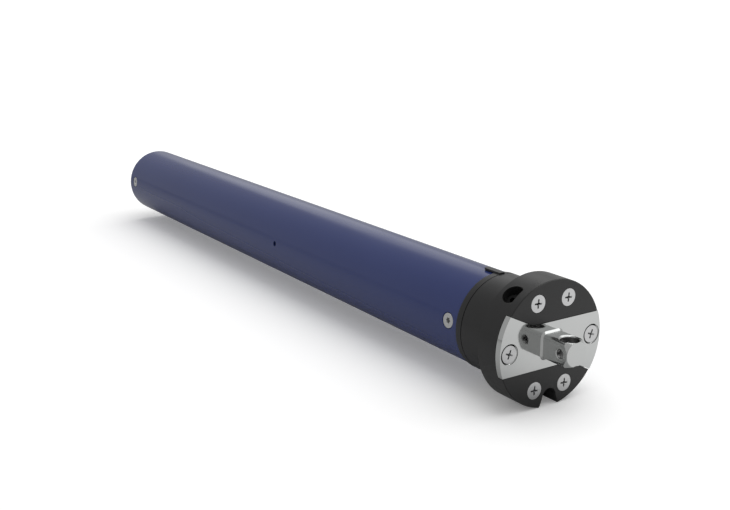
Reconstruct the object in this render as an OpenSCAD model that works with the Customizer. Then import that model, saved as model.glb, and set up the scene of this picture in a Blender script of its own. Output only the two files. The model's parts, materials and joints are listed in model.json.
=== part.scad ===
/* [Motor tube] */
// Outside diameter of the motor tube
tube_od = 60; // [59:0.25:62]
// Wall thickness of the motor tube
tube_wall = 2; // [1.8:0.1:2.2]
// Length of the motor tube
tube_len = 533; // [520:1:620]
// Diameter of the sight hole in the tube wall
sight_d = 4; // [3:0.5:6]
// Distance from the head's face to the sight hole
sight_x = 275.6; // [240:1:290]
// Distance from each tube end to its ring of fixing screws, head end
screw_in_head = 8.6; // [8:0.2:11]
// Distance from the far tube end to its ring of fixing screws
screw_in_far = 11.8; // [9:0.2:14]
// Direction of the first fixing screw, from +Y towards +Z
screw_turn = 174; // [170:1:180]

/* [Head flange] */
// Diameter of the head flange
flange_d = 76.6; // [76:0.2:84]
// Thickness of the whole flange, cover included
flange_t = 19.5; // [18.5:0.5:24]
// Thickness of the black front cover
cover_t = 5.6; // [5.4:0.1:6.4]
// Bevel on the outer edges of cover and flange
rim_bevel = 0.5; // [0.3:0.1:1]
// Height of the neck over the tube's surface
neck_over = 0.75; // [0.4:0.05:1.5]
// Wall of the neck round the crown's skirt
neck_wall = 3.04; // [2.8:0.02:3.4]
// Length of the neck behind the flange
neck_len = 24.3; // [22:0.1:30]
// Half the height of the gap between the two cover screws of one side
cover_screw_y = 11.5; // [11:0.1:13]
// Height of the cover screws above the axis
cover_screw_z = 26; // [25.5:0.1:27.5]

/* [Cable notch] */
// Radius of the round top of the cable notch
notch_r = 5.2; // [4:0.1:5.6]
// Depth of the cable notch from the flange rim
notch_depth = 11.5; // [10:0.1:12]
// Width of the notch where it meets the rim
notch_mouth = 16; // [13:0.5:17]
// Side of the square cable socket
socket_w = 9; // [8:0.1:9.6]
// Height of the cable socket
socket_h = 12; // [10:0.5:12.5]

/* [Mounting plate] */
// Thickness of the mounting plate
plate_t = 3.8; // [3.4:0.1:4.4]
// Distance between the plate's two parallel edges
plate_band = 27.2; // [26:0.1:29]
// Sideways place where each slanted edge starts
plate_flare_y = 14.6; // [13:0.2:17]
// Slope of the slanted edges
plate_flare_angle = 26; // [20:1:27]
// Rounding where a straight edge turns into a slanted one
plate_bend_r = 7; // [3:0.5:9]
// Gap between the plate and its pocket
plate_gap = 0.35; // [0.2:0.05:0.5]
// Distance of each plate screw from the axis
plate_screw_y = 31.4; // [29:0.1:31.5]

/* [Square stud] */
// Width across the flats of the square stud
stud_af = 15; // [13:0.5:18]
// Length of the stud in front of the plate
stud_len = 20; // [19.5:0.5:26]
// Rounding of the stud's long corners
stud_corner_r = 2.5; // [1:0.1:3]
// Height of the bevel at the stud's root
stud_root = 1.1; // [0.8:0.1:2]
// Distance of the stud's cross holes from the plate
stud_hole_x = 14.2; // [12.5:0.1:14.5]
// Core diameter of the tapped cross hole
stud_tap_d = 5; // [4:0.1:5.4]
// Bevel at the mouth of the tapped cross hole
stud_tap_bevel = 0.6; // [0.4:0.1:0.9]
// Diameter of the plain cross hole
stud_pin_d = 11; // [8:0.25:11]
// Diameter of the countersink on the plain cross hole
stud_sink_d = 13; // [12:0.25:14]
// Length of the cone at the stud's front end
stud_cone_len = 2.6; // [2:0.1:4]
// Diameter of the stud's front face
stud_face_d = 14.7; // [13:0.1:14.8]

/* [Head screws] */
// Diameter of the flat screw heads
m6_head_d = 10.5; // [10:0.1:11.6]
// Height of the cone under the flat screw heads
m6_head_h = 3; // [2.6:0.1:3.2]
// Diameter of the screw shanks
m6_d = 6; // [5:0.5:6]
// Length of a cover or plate screw
m6_len = 16; // [14:0.5:17]
// Gap round a screw head in its countersink
sink_gap = 0.95; // [0.4:0.05:1]

/* [Tube screws] */
// Diameter of the tube screw heads
m5_head_d = 9.3; // [8.5:0.1:10]
// Diameter of the tube screw shanks
m5_d = 5; // [4:0.5:5]
// Height of the cone under the tube screw heads
m5_head_h = 2.6; // [2.4:0.1:2.8]
// Length of a tube screw
m5_len = 10; // [9:0.5:11]
// Depth of the tube screw heads below the tube's surface
tube_screw_sunk = 0.25; // [0.2:0.05:0.35]
// Gap round a tube screw head
tube_sink_gap = 0.5; // [0.2:0.05:0.5]

/* [Limit access] */
// Diameter of the two access holes in the flange rim
access_d = 12.7; // [12:0.1:13]
// Distance of the access holes behind the cover
access_back = 4.05; // [3.8:0.05:4.2]
// Angle of each access hole away from straight up
access_turn = 35.5; // [32:0.5:38]
// Depth of the access holes from the rim
access_depth = 6; // [5:0.5:6.5]
// Angle of each adjusting screw away from straight up
adjuster_turn = 39; // [38:0.5:40]
// Diameter of the adjusting screw heads
adjuster_d = 7; // [6:0.25:7.5]
// Height of the adjusting screw heads
adjuster_h = 3; // [2.5:0.25:3.5]
// Diameter of the adjusting screw stems
adjuster_stem_d = 4; // [3:0.25:4.5]
// Length of the adjusting screw stems
adjuster_stem_len = 8; // [6:0.5:9]
// Width across the flats of the hexagon key hole
adjuster_key = 3; // [2.5:0.25:3.5]
// Depth of the hexagon key hole
adjuster_key_len = 2.2; // [1.5:0.1:2.4]

/* [Crown] */
// Width of the turning crown
crown_w = 4.6; // [4:0.1:6]
// Gap between the neck and the crown
seam_gap = 0.6; // [0.4:0.1:1]
// Length of the crown's key over the tube
key_len = 10.5; // [9:0.5:14]
// Width of the crown's key
key_w = 4; // [3:0.25:6]
// Height of the key over the crown
key_h = 0.9; // [0.3:0.1:1.2]
// Gap between the key and the tube
key_gap = 0.35; // [0.3:0.05:0.5]
// Wall of the crown's skirt outside its tooth roots
skirt_wall = 1.2; // [1:0.05:1.3]
// Width of the crown's inner teeth
crown_face = 5; // [4:0.25:5.5]

/* [Tube hub] */
// Length of the hub inside the tube
hub_len = 24; // [20:0.5:30]
// Step from the tube's bore down to the journal that carries the crown
journal_step = 4; // [3.9:0.05:4.1]
// Diameter of the hub screws
hub_screw_d = 4; // [3:0.5:4]
// Length of the hub screws
hub_screw_len = 42; // [38:0.5:46]
// Diameter of the wire duct through the head
duct_d = 7; // [5:0.5:7.5]

/* [Limit counter] */
// Thickness of the counter frame's plates
frame_plate_t = 3; // [2:0.25:4]
// Distance between the counter frame's plates
frame_span = 30; // [28.6:0.2:34]
// Width of each counter wheel
counter_face = 3; // [2.5:0.1:3.1]
// Diameter of the counter's fixed posts
post_d = 3; // [2:0.1:3.1]
// Diameter of the pinion shaft from the crown
pinion_shaft_d = 5; // [4:0.25:5.5]
// Side gap between neighbouring counter wheels
counter_gap = 0.5; // [0.3:0.05:0.55]
// Travel of a switch plunger
plunger_travel = 0.8; // [0.5:0.1:1]

/* [Electrics] */
// Length of the space for the electrics between counter and motor
electrics_len = 187.8; // [180:0.2:200]
// Diameter of the run capacitor
capacitor_d = 35; // [30:0.5:38]
// Length of the run capacitor
capacitor_len = 78; // [60:1:84]
// Length of the wiring board
board_len = 66; // [50:1:70]
// Thickness of the wiring board
board_t = 1.6; // [1:0.1:2]
// Wall of the tray that holds board and capacitor
tray_wall = 2; // [1.5:0.1:2.5]

/* [Motor] */
// Length of the winding ends outside the core
end_turn = 17; // [12:0.5:19]
// Diameter of the rotor core
rotor_d = 30; // [28:0.5:32]
// Radial air gap between rotor and stator
air_gap = 0.4; // [0.3:0.05:0.6]
// Diameter of the rotor shaft
shaft_d = 8; // [7:0.5:8.5]
// Thickness of each end bell's disc
bell_t = 8; // [6:0.5:10]
// Thickness of the bell skirt round the windings
bell_skirt = 2.2; // [2:0.1:3]

/* [Brake] */
// Diameter of the brake disc
brake_disc_d = 40; // [36:0.5:41]
// Thickness of the brake disc
brake_disc_t = 4; // [3:0.25:6]
// Thickness of the pressure plate
brake_plate_t = 4; // [3:0.25:6]
// Air gap that the pressure plate travels
brake_travel = 0.5; // [0.3:0.05:0.55]
// Length of the magnet yoke
yoke_len = 24; // [20:0.5:30]
// Diameter of the brake bolts
brake_bolt_d = 3; // [2.5:0.25:3.25]
// Diameter of the brake springs
spring_d = 4; // [3:0.25:4.25]

/* [Gearbox] */
// Wall of the ring gear outside its tooth roots
ring_wall = 2.57; // [2.3:0.01:3]
// Gear width of the first stage
face_1 = 8; // [6:0.5:12]
// Gear width of the second stage
face_2 = 11; // [8:0.5:15]
// Gear width of the output stage
face_3 = 16; // [12:0.5:20]
// Thickness of the first carrier
carrier_t_1 = 4; // [3:0.5:6]
// Thickness of the second carrier
carrier_t_2 = 5; // [4:0.5:8]
// Thickness of the output carrier
carrier_t_3 = 7; // [5:0.5:10]
// Diameter of the planet pins
planet_pin_d = 6; // [5:0.5:7]
// Thickness of the gearbox cover
gear_cover_t = 4; // [3:0.5:6]
// Length of the end cap inside the tube
cap_len = 22; // [20:0.5:28]

/* [Output shaft] */
// Diameter of the output shaft's journal
output_d = 18; // [16.6:0.2:20]
// Outside diameter of the output bush
bush_od = 24; // [22.5:0.5:28]
// Width across the flats of the output hexagon
hex_af = 14; // [12:0.25:14.25]
// Length of the output hexagon
hex_len = 24; // [18:0.5:30]
// Core diameter of the tapped hole in the shaft's end
end_tap_d = 5; // [4.2:0.1:6.8]
// Depth of the tapped hole in the shaft's end
end_tap_len = 16; // [12:0.5:22]

/* [Hidden] */

$fn = 96;
eps = 0.01;
// Clearance between a fixed round part and the tube's inside
slip = 0.05;
// Radial clearance of a turning shaft in its bearing
run = 0.05;
// Side clearance of gears and discs that turn
side = 0.4;
// Clearance round the brake's parts, and round the shaft where it passes them
brake_gap = 0.3;
shaft_gap = 1.5;
// Gap between crown and tube, and between the crown's skirt and the neck's wall
crown_gap = 0.3;
skirt_gap = 0.35;
// Room between the winding ends and the end bells
coil_room = 1;
// Room round the windings, the brake coil and a turning part that passes through a plate
coil_gap = 0.8;
brake_coil_gap = 0.2;
pass_gap = 0.5;
// Gap round the heads of the cover and hub screws, and how far the plate screws lie sunk
seat_gap = 0.15;
plate_screw_sunk = 0.1;
// Depth that bolts and shaft ends sit in the part they end in
seat_depth = 1;

tube_r = tube_od / 2;
bore_r = tube_r - tube_wall;
inner_r = bore_r - slip;
flange_r = flange_d / 2;
neck_r = tube_r + neck_over;
m6_r = m6_d / 2;
cone_r = m6_head_d / 2;
// Straight part of a flat screw head under its face
head_edge = 0.4;
// Recesses in the screw heads
cross_w = 5.6;
cross_depth = 2.2;
lobe_r = 2.2;
lobe_depth = 1.8;
// Width of the groove under the plate's edge at the rim
rim_groove = 1.2;
press_screw_turns = [screw_turn, screw_turn + 120, screw_turn + 240];

// Places along the axis, from the head's face backwards
x_cover = -cover_t;
x_flange = -flange_t;
x_neck = x_flange - neck_len;
x_crown_a = x_neck - seam_gap;
x_crown_b = x_crown_a - crown_w;
x_tube = x_crown_b - crown_gap;
x_hub = x_tube - hub_len;
x_frame_a = x_hub - frame_plate_t;
x_frame_b = x_frame_a - frame_span;
x_frame_c = x_frame_b - frame_plate_t;
x_far = x_tube - tube_len;

// Places along the axis, from the far end forwards
x_cap = x_far + cap_len;
x_c3 = x_cap + side;
x_p3 = x_c3 + carrier_t_3 + side;
x_c2 = x_p3 + face_3 + side;
x_p2 = x_c2 + carrier_t_2 + side;
x_c1 = x_p2 + face_2 + side;
x_p1 = x_c1 + carrier_t_1 + side;
x_gear_cover = x_p1 + face_1 + side;
x_disc = x_gear_cover + gear_cover_t + brake_gap;
x_plate = x_disc + brake_disc_t + brake_gap;
x_yoke = x_plate + brake_plate_t + brake_travel + brake_gap;
x_rear_bell = x_yoke + yoke_len;
x_stack = x_rear_bell + bell_t + end_turn + coil_room;
x_motor_end = x_frame_c - electrics_len;
x_front_bell = x_motor_end - bell_t;
x_stack_end = x_front_bell - end_turn - coil_room;

// Gear data: teeth, pressure angle, tooth height and play, in modules or millimetres
pressure = 25;
tooth_up = 0.95;
tooth_down = 1.2;
play = 0.14;
crown_teeth = 63;
pinion_teeth = 18;
first_mod = 0.6;
first_small = 12;
first_big = 48;
count_mod = 0.5;
count_small = 12;
count_big = 36;
sun_teeth = 12;
planet_teeth = 21;
ring_teeth = sun_teeth + 2 * planet_teeth;
planet_count = 3;
planet_start = 90;

// Crown's skirt, its teeth and its journal
skirt_r = neck_r - neck_wall - skirt_gap;
crown_mod = (skirt_r - skirt_wall) / (crown_teeth / 2 + tooth_down);
journal_r = bore_r - journal_step;

// Height of the pinion shaft and of the second counter post
pinion_z = crown_mod * (crown_teeth - pinion_teeth) / 2;
first_fix = pinion_z / (first_mod * (first_small + first_big) / 2);
post_low_z = -count_mod * (count_small + count_big) / 2;
gear_mod = (inner_r - ring_wall) / (ring_teeth / 2 + tooth_down);
orbit_r = gear_mod * (sun_teeth + planet_teeth) / 2;

// Rest angles that put neighbouring gears in mesh
function ring_phase(at, ring_n, small_n, ring_turn) = at + (ring_turn - at) * ring_n / small_n;
function mate_phase(at, turn, n, mate_n) = at + 180 + ((at - turn) * n + 180) / mate_n;
planet_turn = [for (i = [0 : planet_count - 1])
    ring_phase(planet_start + 120 * i, ring_teeth, planet_teeth, planet_start)];
sun_turn = mate_phase(planet_start + 180, planet_turn[0], planet_teeth, sun_teeth);
pinion_turn = ring_phase(90, crown_teeth, pinion_teeth, 90);
wheel_1_turn = mate_phase(270, pinion_turn, first_small, first_big);
wheel_2_turn = mate_phase(270, wheel_1_turn, count_small, count_big);
wheel_3_turn = mate_phase(90, wheel_2_turn, count_small, count_big);
drum_turn = mate_phase(270, wheel_3_turn, count_small, count_big);

// Counter wheels along the axis
x_w1 = x_frame_a - counter_gap - counter_face;
x_w2 = x_w1 - 2 * counter_gap - counter_face;
x_w3 = x_w2 - 2 * counter_gap - counter_face;
x_w4 = x_w3 - 2 * counter_gap - counter_face;
cam_d = 17;
cam_w = 4;
drum_d = 14;
x_drum_end = x_frame_b + side;
cam_half = 4;
cam_step = 0.8;
cam_up_turn = 90;
cam_down_turn = 210;
x_cam_up = x_w4 - 1.5 * cam_step;
x_cam_down = x_cam_up - cam_w - cam_step;
cam_gap = 0.3;
plunger_y = cam_d / 2 + cam_gap;
plunger_d = 2;
plunger_out = 1.4;
plunger_in = 4.5;
switch_w = 8;
switch_h = 15;
switch_shift = 2;
switch_y = plunger_y + plunger_travel + plunger_out;

// Limit adjusters in the flange
access_x = x_cover - access_back;
access_floor_r = flange_r - access_depth;
adjuster_gap = 0.5;
adjuster_seat_r = access_floor_r + adjuster_gap;

// Neck cavity that holds the crown's skirt
cavity_r = neck_r - neck_wall;
x_skirt = x_crown_a + crown_face + seam_gap;
x_cavity = x_skirt + side;
pinion_tip = crown_mod * (pinion_teeth / 2 + tooth_up);

// Cable socket above the notch, and the wire duct behind it
x_socket = -12.6;
socket_lift = 0.4;
socket_base = -(flange_r - notch_depth) + socket_lift;
socket_fit = 0.15;
socket_wall = 1.2;
socket_cup = 7;
pin_r = 0.5;
pin_back = 4.6;
duct_drop = 0.5;
duct_z = socket_base + socket_h - duct_d / 2 - duct_drop;

// Hub screws
hub_screw_orbit = 17;
hub_head_h = 2.2;
hub_cross_depth = 1.6;

// Counter frame: pillars between its plates, and its share of the wire duct
pillar_turns = [12, 168, 240, 300];
pillar_r = 2.4;
frame_rim = 0.8;
pillar_orbit = inner_r - pillar_r - frame_rim;
frame_duct_r = duct_d / 2 - frame_rim;
frame_duct_z = -(inner_r - frame_duct_r - 1.25 * frame_rim);

// Tray for board and capacitor
tray_r = inner_r;
tray_top = -4;
tray_duct_z = 8;
board_room = 4;
x_board = x_frame_c - board_room;
x_capacitor = x_motor_end + 2 * board_room;
capacitor_gap = 0.1;
relay = [18, 15, 13];
relay_pitch = 23;
terminals = [40, 9, 9];
terminals_y = 6;
lug_len = 6;
lug_r = 1.5;

// Motor, carriers and the clip on the output shaft
stator_bore_r = rotor_d / 2 + air_gap;
tail_r = 2.5;
end_ring_len = 7;
end_ring_step = 1.5;
carrier_r = gear_mod * (ring_teeth / 2 - tooth_up) - 3 * side;
clip_w = 1.2;
clip_gap = 0.4;
clip_depth = 1;
clip_over = 1.6;
clip_slot = 3;
journal_end = 0.6;

// Pockets in the end cap's outer face
cap_wall = 3;
cap_pocket_w = 5;
cap_pocket_depth = 6;
x_clip = x_far - clip_gap - clip_w;

// Brake yoke
yoke_r = bore_r - brake_gap;
coil_in = 13.5;
coil_out = 20;
spring_len = 12;
spring_wire = 0.7;
spring_out = 0.2;
coil_back = 6;
bolt_circle = (coil_out + yoke_r) / 2;

function involute(a) = tan(a) - a * PI / 180;
function spin(p, a) = [p[0] * cos(a) - p[1] * sin(a), p[0] * sin(a) + p[1] * cos(a)];

// Outline of a gear: a tooth is centred on the first axis, and slack thins each tooth
function gear_outline(n, mod, up, down, slack, steps = 4) =
    let (pitch = mod * n / 2, base = pitch * cos(pressure),
        tip = pitch + up * mod, root = pitch - down * mod, low = max(base, root),
        half = 90 / n - slack / (2 * pitch) * 180 / PI,
        flank = [for (i = [0 : steps]) let (r = low + (tip - low) * i / steps,
            t = half + (involute(pressure) - involute(acos(base / r))) * 180 / PI)
            [r * cos(t), r * sin(t)]],
        foot = root < base ? [spin([root, 0], atan2(flank[0][1], flank[0][0]))] : [],
        side_a = concat(foot, flank),
        count = len(side_a))
    [for (k = [0 : n - 1]) for (j = [0 : 2 * count - 1])
        let (p = j < count ? [side_a[j][0], -side_a[j][1]] : side_a[2 * count - 1 - j])
        spin(p, 360 * k / n)];

// Turns a shape drawn in Y and Z so that it is extruded along +X from the given place
module along_x(x, y = 0, z = 0) {
    translate([x, y, z]) rotate([90, 0, 90]) children();
}

module disc(x_low, x_high, r, y = 0, z = 0) {
    along_x(x_low, y, z) cylinder(h = x_high - x_low, r = r);
}

module cone(x_low, x_high, r_low, r_high, y = 0, z = 0) {
    along_x(x_low, y, z) cylinder(h = x_high - x_low, r1 = r_low, r2 = r_high);
}

module gear(x_low, x_high, n, mod, turn, y = 0, z = 0) {
    along_x(x_low, y, z) rotate(turn) linear_extrude(x_high - x_low)
        polygon(gear_outline(n, mod, tooth_up, tooth_down, play));
}

module gear_hollow(x_low, x_high, n, mod, turn) {
    along_x(x_low) rotate(turn) linear_extrude(x_high - x_low)
        polygon(gear_outline(n, mod, tooth_down, tooth_up, -play));
}

// Moves children from the axis to a radius in the given direction, their +Z pointing outwards
module outwards(x, turn, r) {
    translate([x, 0, 0]) rotate([turn - 90, 0, 0]) translate([0, 0, r]) children();
}

// A flat-headed screw with its head's face at the place given, pointing along -Z
module flat_screw(head_r, head_h, r, length) {
    translate([0, 0, -head_h]) cylinder(h = head_h - head_edge, r1 = r, r2 = head_r);
    translate([0, 0, -head_edge]) cylinder(h = head_edge, r = head_r);
    translate([0, 0, -length]) cylinder(h = length - head_h + eps, r = r);
}

module cross_recess(width, depth) {
    for (turn = [0, 90]) rotate(turn)
        translate([-width / 2, -width / 9, -depth]) cube([width, width / 4.5, depth + 1]);
}

module lobe_recess(r, depth) {
    translate([0, 0, -depth]) cylinder(h = depth + 1, r = r * 0.72);
    for (k = [0 : 5]) rotate(60 * k) translate([r * 0.72, 0, -depth])
        cylinder(h = depth + 1, r = r * 0.28);
}

// The hole that a flat-headed screw sits in
module screw_seat(head_r, head_h, r, length, gap) {
    translate([0, 0, -head_h]) cylinder(h = head_h - head_edge, r1 = r + gap / 2, r2 = head_r + gap);
    translate([0, 0, -head_edge]) cylinder(h = 5, r = head_r + gap);
    translate([0, 0, -length]) cylinder(h = length, r = r);
}

module place_cover_screws() {
    for (sy = [-1, 1]) for (sz = [-1, 1])
        translate([0, sy * cover_screw_y, sz * cover_screw_z]) rotate([0, 90, 0]) children();
}

module place_plate_screws() {
    for (sy = [-1, 1]) translate([0, sy * plate_screw_y, 0]) rotate([0, 90, 0]) children();
}

module cable_notch(x_low, x_high) {
    centre = -(flange_r - notch_depth + notch_r);
    disc(x_low, x_high, notch_r, 0, centre);
    along_x(x_low) linear_extrude(x_high - x_low)
        polygon([[-notch_r, centre], [notch_r, centre], [notch_mouth / 2, -flange_r - 1],
            [-notch_mouth / 2, -flange_r - 1]]);
}

// Half of the plate's outline, grown by a margin: a straight edge, a rounded bend, a slanted edge
function plate_half(grow) =
    let (h = plate_band / 2 + grow, a = plate_flare_angle, r = plate_bend_r - grow,
        bend_y = -plate_flare_y + grow * tan(a / 2), reach = flange_d)
    concat([[reach, h]],
        [for (k = [0 : 8]) let (t = -90 - a * k / 8)
            [bend_y + r * tan(a / 2) + r * cos(t), h + r + r * sin(t)]],
        [[bend_y - reach * cos(a), h + reach * sin(a)]]);

module plate_shape(x_low, x_high, grow, r) {
    half = plate_half(grow);
    intersection() {
        along_x(x_low) linear_extrude(x_high - x_low)
            polygon(concat(half, [for (p = half) -p]));
        disc(x_low, x_high, r);
    }
}

module bevelled_disc(x_low, x_high, r, bevel_low, bevel_high) {
    along_x(0) rotate_extrude() polygon([[0, x_low], [r - bevel_low, x_low],
        [r, x_low + bevel_low], [r, x_high - bevel_high], [r - bevel_high, x_high],
        [0, x_high]]);
}

module head_cover() {
    color([0.16, 0.16, 0.165]) difference() {
        along_x(0) rotate_extrude() polygon([[0, x_cover], [flange_r, x_cover],
            [flange_r, -rim_bevel], [flange_r - rim_bevel, 0], [0, 0]]);
        plate_shape(-plate_t, 1, plate_gap, flange_d);
        difference() {
            plate_shape(-plate_t - plate_gap, 1, plate_gap, flange_d);
            disc(x_cover - 1, 2, flange_r - rim_groove);
        }
        cable_notch(x_cover - 1, 1);
        place_cover_screws() screw_seat(cone_r, m6_head_h, m6_r, 2 * cover_t, seat_gap);
        place_plate_screws() translate([0, 0, -2 * cover_t]) cylinder(h = 3 * cover_t, r = m6_r);
    }
}

module mounting_plate() {
    color([0.74, 0.75, 0.76]) difference() {
        union() {
            plate_shape(-plate_t, 0, 0, flange_r);
            stud();
        }
        place_plate_screws() screw_seat(cone_r, m6_head_h, m6_r, 2 * plate_t, sink_gap);
        translate([stud_hole_x, 0, 0]) rotate([90, 0, 0])
            cylinder(h = 2 * stud_af, r = stud_tap_d / 2, center = true);
        for (s = [-1, 1]) translate([stud_hole_x, s * stud_af / 2, 0]) rotate([s * 90, 0, 0])
            translate([0, 0, -eps]) cylinder(h = stud_tap_bevel, r1 = stud_tap_d / 2 + stud_tap_bevel,
                r2 = stud_tap_d / 2);
        translate([stud_hole_x, 0, 0]) cylinder(h = 2 * stud_af, r = stud_pin_d / 2, center = true);
        for (turn = [0, 180]) rotate([turn, 0, 0]) translate([stud_hole_x, 0, stud_af / 2])
            stud_sink();
    }
}

module stud_sink() {
    sink_h = (stud_sink_d - stud_pin_d) / 2;
    translate([0, 0, -sink_h]) cylinder(h = sink_h, r1 = stud_pin_d / 2, r2 = stud_sink_d / 2);
    translate([0, 0, -eps]) cylinder(h = 2, r = stud_sink_d / 2);
}

// Square bar with round corners, a bevelled root and a coned front end
module stud() {
    half = stud_af / 2;
    inset = half - stud_corner_r;
    corner_reach = inset * sqrt(2) + stud_corner_r;
    intersection() {
        union() {
            translate([-plate_t / 2, -half, -inset]) cube([stud_len + plate_t / 2, stud_af, 2 * inset]);
            translate([-plate_t / 2, -inset, -half]) cube([stud_len + plate_t / 2, 2 * inset, stud_af]);
            for (sy = [-1, 1]) for (sz = [-1, 1]) {
                disc(-plate_t / 2, stud_len, stud_corner_r, sy * inset, sz * inset);
                cone(0, stud_root, stud_corner_r + stud_root, stud_corner_r, sy * inset, sz * inset);
            }
            for (turn = [0, 90, 180, 270]) rotate([turn, 0, 0]) translate([0, -half, -inset])
                linear_extrude(2 * inset) polygon([[0, -stud_root], [stud_root, 0], [0, eps]]);
        }
        along_x(0) rotate_extrude() polygon([[0, -plate_t], [2 * stud_af, -plate_t],
            [2 * stud_af, 0], [half + 2 * corner_reach, 0], [corner_reach + stud_root, stud_root],
            [corner_reach, stud_len - stud_cone_len], [stud_face_d / 2, stud_len],
            [0, stud_len]]);
    }
}

module plate_screws() {
    color([0.72, 0.73, 0.74]) place_plate_screws() difference() {
        translate([0, 0, -plate_screw_sunk])
            flat_screw(cone_r, m6_head_h, m6_r, m6_len - plate_screw_sunk);
        cross_recess(cross_w, cross_depth);
    }
}

module cover_screws() {
    color([0.72, 0.73, 0.74]) place_cover_screws() difference() {
        flat_screw(cone_r, m6_head_h, m6_r, m6_len);
        cross_recess(cross_w, cross_depth);
    }
}

module head_body() {
    color([0.15, 0.15, 0.155]) difference() {
        union() {
            bevelled_disc(x_flange, x_cover, flange_r, rim_bevel, 0.01);
            disc(x_neck, x_flange + 1, neck_r);
        }
        cable_notch(x_flange - 1, x_cover + 1);
        place_cover_screws() translate([0, 0, -m6_len - 1]) cylinder(h = m6_len + 2, r = m6_r);
        place_plate_screws() translate([0, 0, -m6_len - 1]) cylinder(h = m6_len + 2, r = m6_r);
        for (s = [-1, 1]) {
            outwards(access_x, 90 + s * access_turn, access_floor_r)
                cylinder(h = flange_r, r = access_d / 2);
            outwards(access_x, 90 + s * adjuster_turn, adjuster_seat_r - adjuster_stem_len - 1)
                cylinder(h = adjuster_stem_len + 2, r = adjuster_stem_d / 2 + run);
        }
        socket_pocket();
        difference() {
            disc(x_neck - 1, x_cavity, cavity_r);
            disc(x_neck - 2, x_cavity + 1, journal_r);
        }
        disc(x_neck - 1, x_cavity, pinion_tip + pass_gap, 0, pinion_z);
        disc(x_neck - 1, x_socket - socket_w / 2, duct_d / 2, 0, duct_z);
        place_hub_screws() translate([0, 0, -(hub_screw_len + 1)])
            cylinder(h = hub_screw_len + 2, r = hub_screw_d / 2);
    }
}

module socket_pocket() {
    w = socket_w + 2 * socket_fit;
    translate([x_socket - w / 2, -w / 2, socket_base - notch_r - socket_lift])
        cube([w, w, socket_h + notch_r + socket_lift + socket_fit]);
}

module cable_socket() {
    cup = socket_w - 2 * socket_wall;
    color([0.08, 0.08, 0.085]) translate([x_socket, 0, socket_base]) difference() {
        translate([-socket_w / 2, -socket_w / 2, 0]) cube([socket_w, socket_w, socket_h]);
        translate([-cup / 2, -cup / 2, -1]) cube([cup, cup, socket_cup + 1]);
        for (sx = [-1, 1]) for (sy = [-1, 1]) translate([sx * cup / 4, sy * cup / 4, 0])
            cylinder(h = socket_h - 1, r = pin_r);
    }
}

module socket_pins() {
    cup = socket_w - 2 * socket_wall;
    color([0.8, 0.65, 0.3]) translate([x_socket, 0, socket_base])
        for (sx = [-1, 1]) for (sy = [-1, 1]) translate([sx * cup / 4, sy * cup / 4, pin_back])
            cylinder(h = socket_h - 1 - pin_back, r = pin_r);
}

module limit_screw(turn) {
    outwards(access_x, turn, adjuster_seat_r) difference() {
        union() {
            cylinder(h = adjuster_h, r = adjuster_d / 2);
            translate([0, 0, -adjuster_stem_len])
                cylinder(h = adjuster_stem_len + 1, r = adjuster_stem_d / 2);
        }
        translate([0, 0, adjuster_h - adjuster_key_len])
            cylinder(h = adjuster_h, r = adjuster_key / sqrt(3), $fn = 6);
    }
}

module limit_screw_up() {
    color([0.1, 0.1, 0.11]) limit_screw(90 + adjuster_turn);
}

module limit_screw_down() {
    color([0.1, 0.1, 0.11]) limit_screw(90 - adjuster_turn);
}

module crown_ring() {
    key_low = tube_r + key_gap;
    key_top = neck_r + key_h;
    color([0.14, 0.14, 0.145]) difference() {
        union() {
            disc(x_crown_b, x_crown_a, neck_r);
            disc(x_crown_a - 1, x_skirt, skirt_r);
            translate([x_crown_b - key_len + key_w / 2, -key_w / 2, key_low])
                cube([key_len - key_w / 2 + crown_w, key_w, key_top - key_low]);
            translate([x_crown_b - key_len + key_w / 2, 0, key_low])
                cylinder(h = key_top - key_low, r = key_w / 2);
        }
        disc(x_crown_b - 1, x_crown_a, journal_r + run);
        gear_hollow(x_crown_a - eps, x_skirt + 1, crown_teeth, crown_mod, 90);
    }
}

module place_hub_screws() {
    for (turn = [30, 150, 215, 325])
        translate([x_hub, hub_screw_orbit * cos(turn), hub_screw_orbit * sin(turn)])
            rotate([0, -90, 0]) children();
}

module tube_hub() {
    color([0.32, 0.33, 0.34]) difference() {
        union() {
            disc(x_hub, x_tube, inner_r);
            disc(x_tube - 1, x_neck, journal_r);
        }
        disc(x_hub - 1, x_neck + 1, pinion_shaft_d / 2 + run, 0, pinion_z);
        disc(x_hub - 1, x_neck + 1, duct_d / 2, 0, duct_z);
        for (turn = press_screw_turns) outwards(x_tube - screw_in_head, turn, tube_r)
            tube_screw_hole(m5_len + 0.5);
        place_hub_screws()
            screw_seat(hub_screw_d, hub_head_h, hub_screw_d / 2, hub_screw_len, seat_gap);
    }
}

module hub_screws() {
    color([0.7, 0.71, 0.72]) place_hub_screws() difference() {
        flat_screw(hub_screw_d, hub_head_h, hub_screw_d / 2, hub_screw_len);
        cross_recess(hub_screw_d, hub_cross_depth);
    }
}

// Seat of a tube screw, cut through the tube and into the part behind it
module tube_screw_hole(length) {
    translate([0, 0, -tube_screw_sunk])
        screw_seat(m5_head_d / 2, m5_head_h, m5_d / 2, length, tube_sink_gap);
}

module tube_screw() {
    translate([0, 0, -tube_screw_sunk]) difference() {
        flat_screw(m5_head_d / 2, m5_head_h, m5_d / 2, m5_len);
        lobe_recess(lobe_r, lobe_depth);
    }
}

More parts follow.
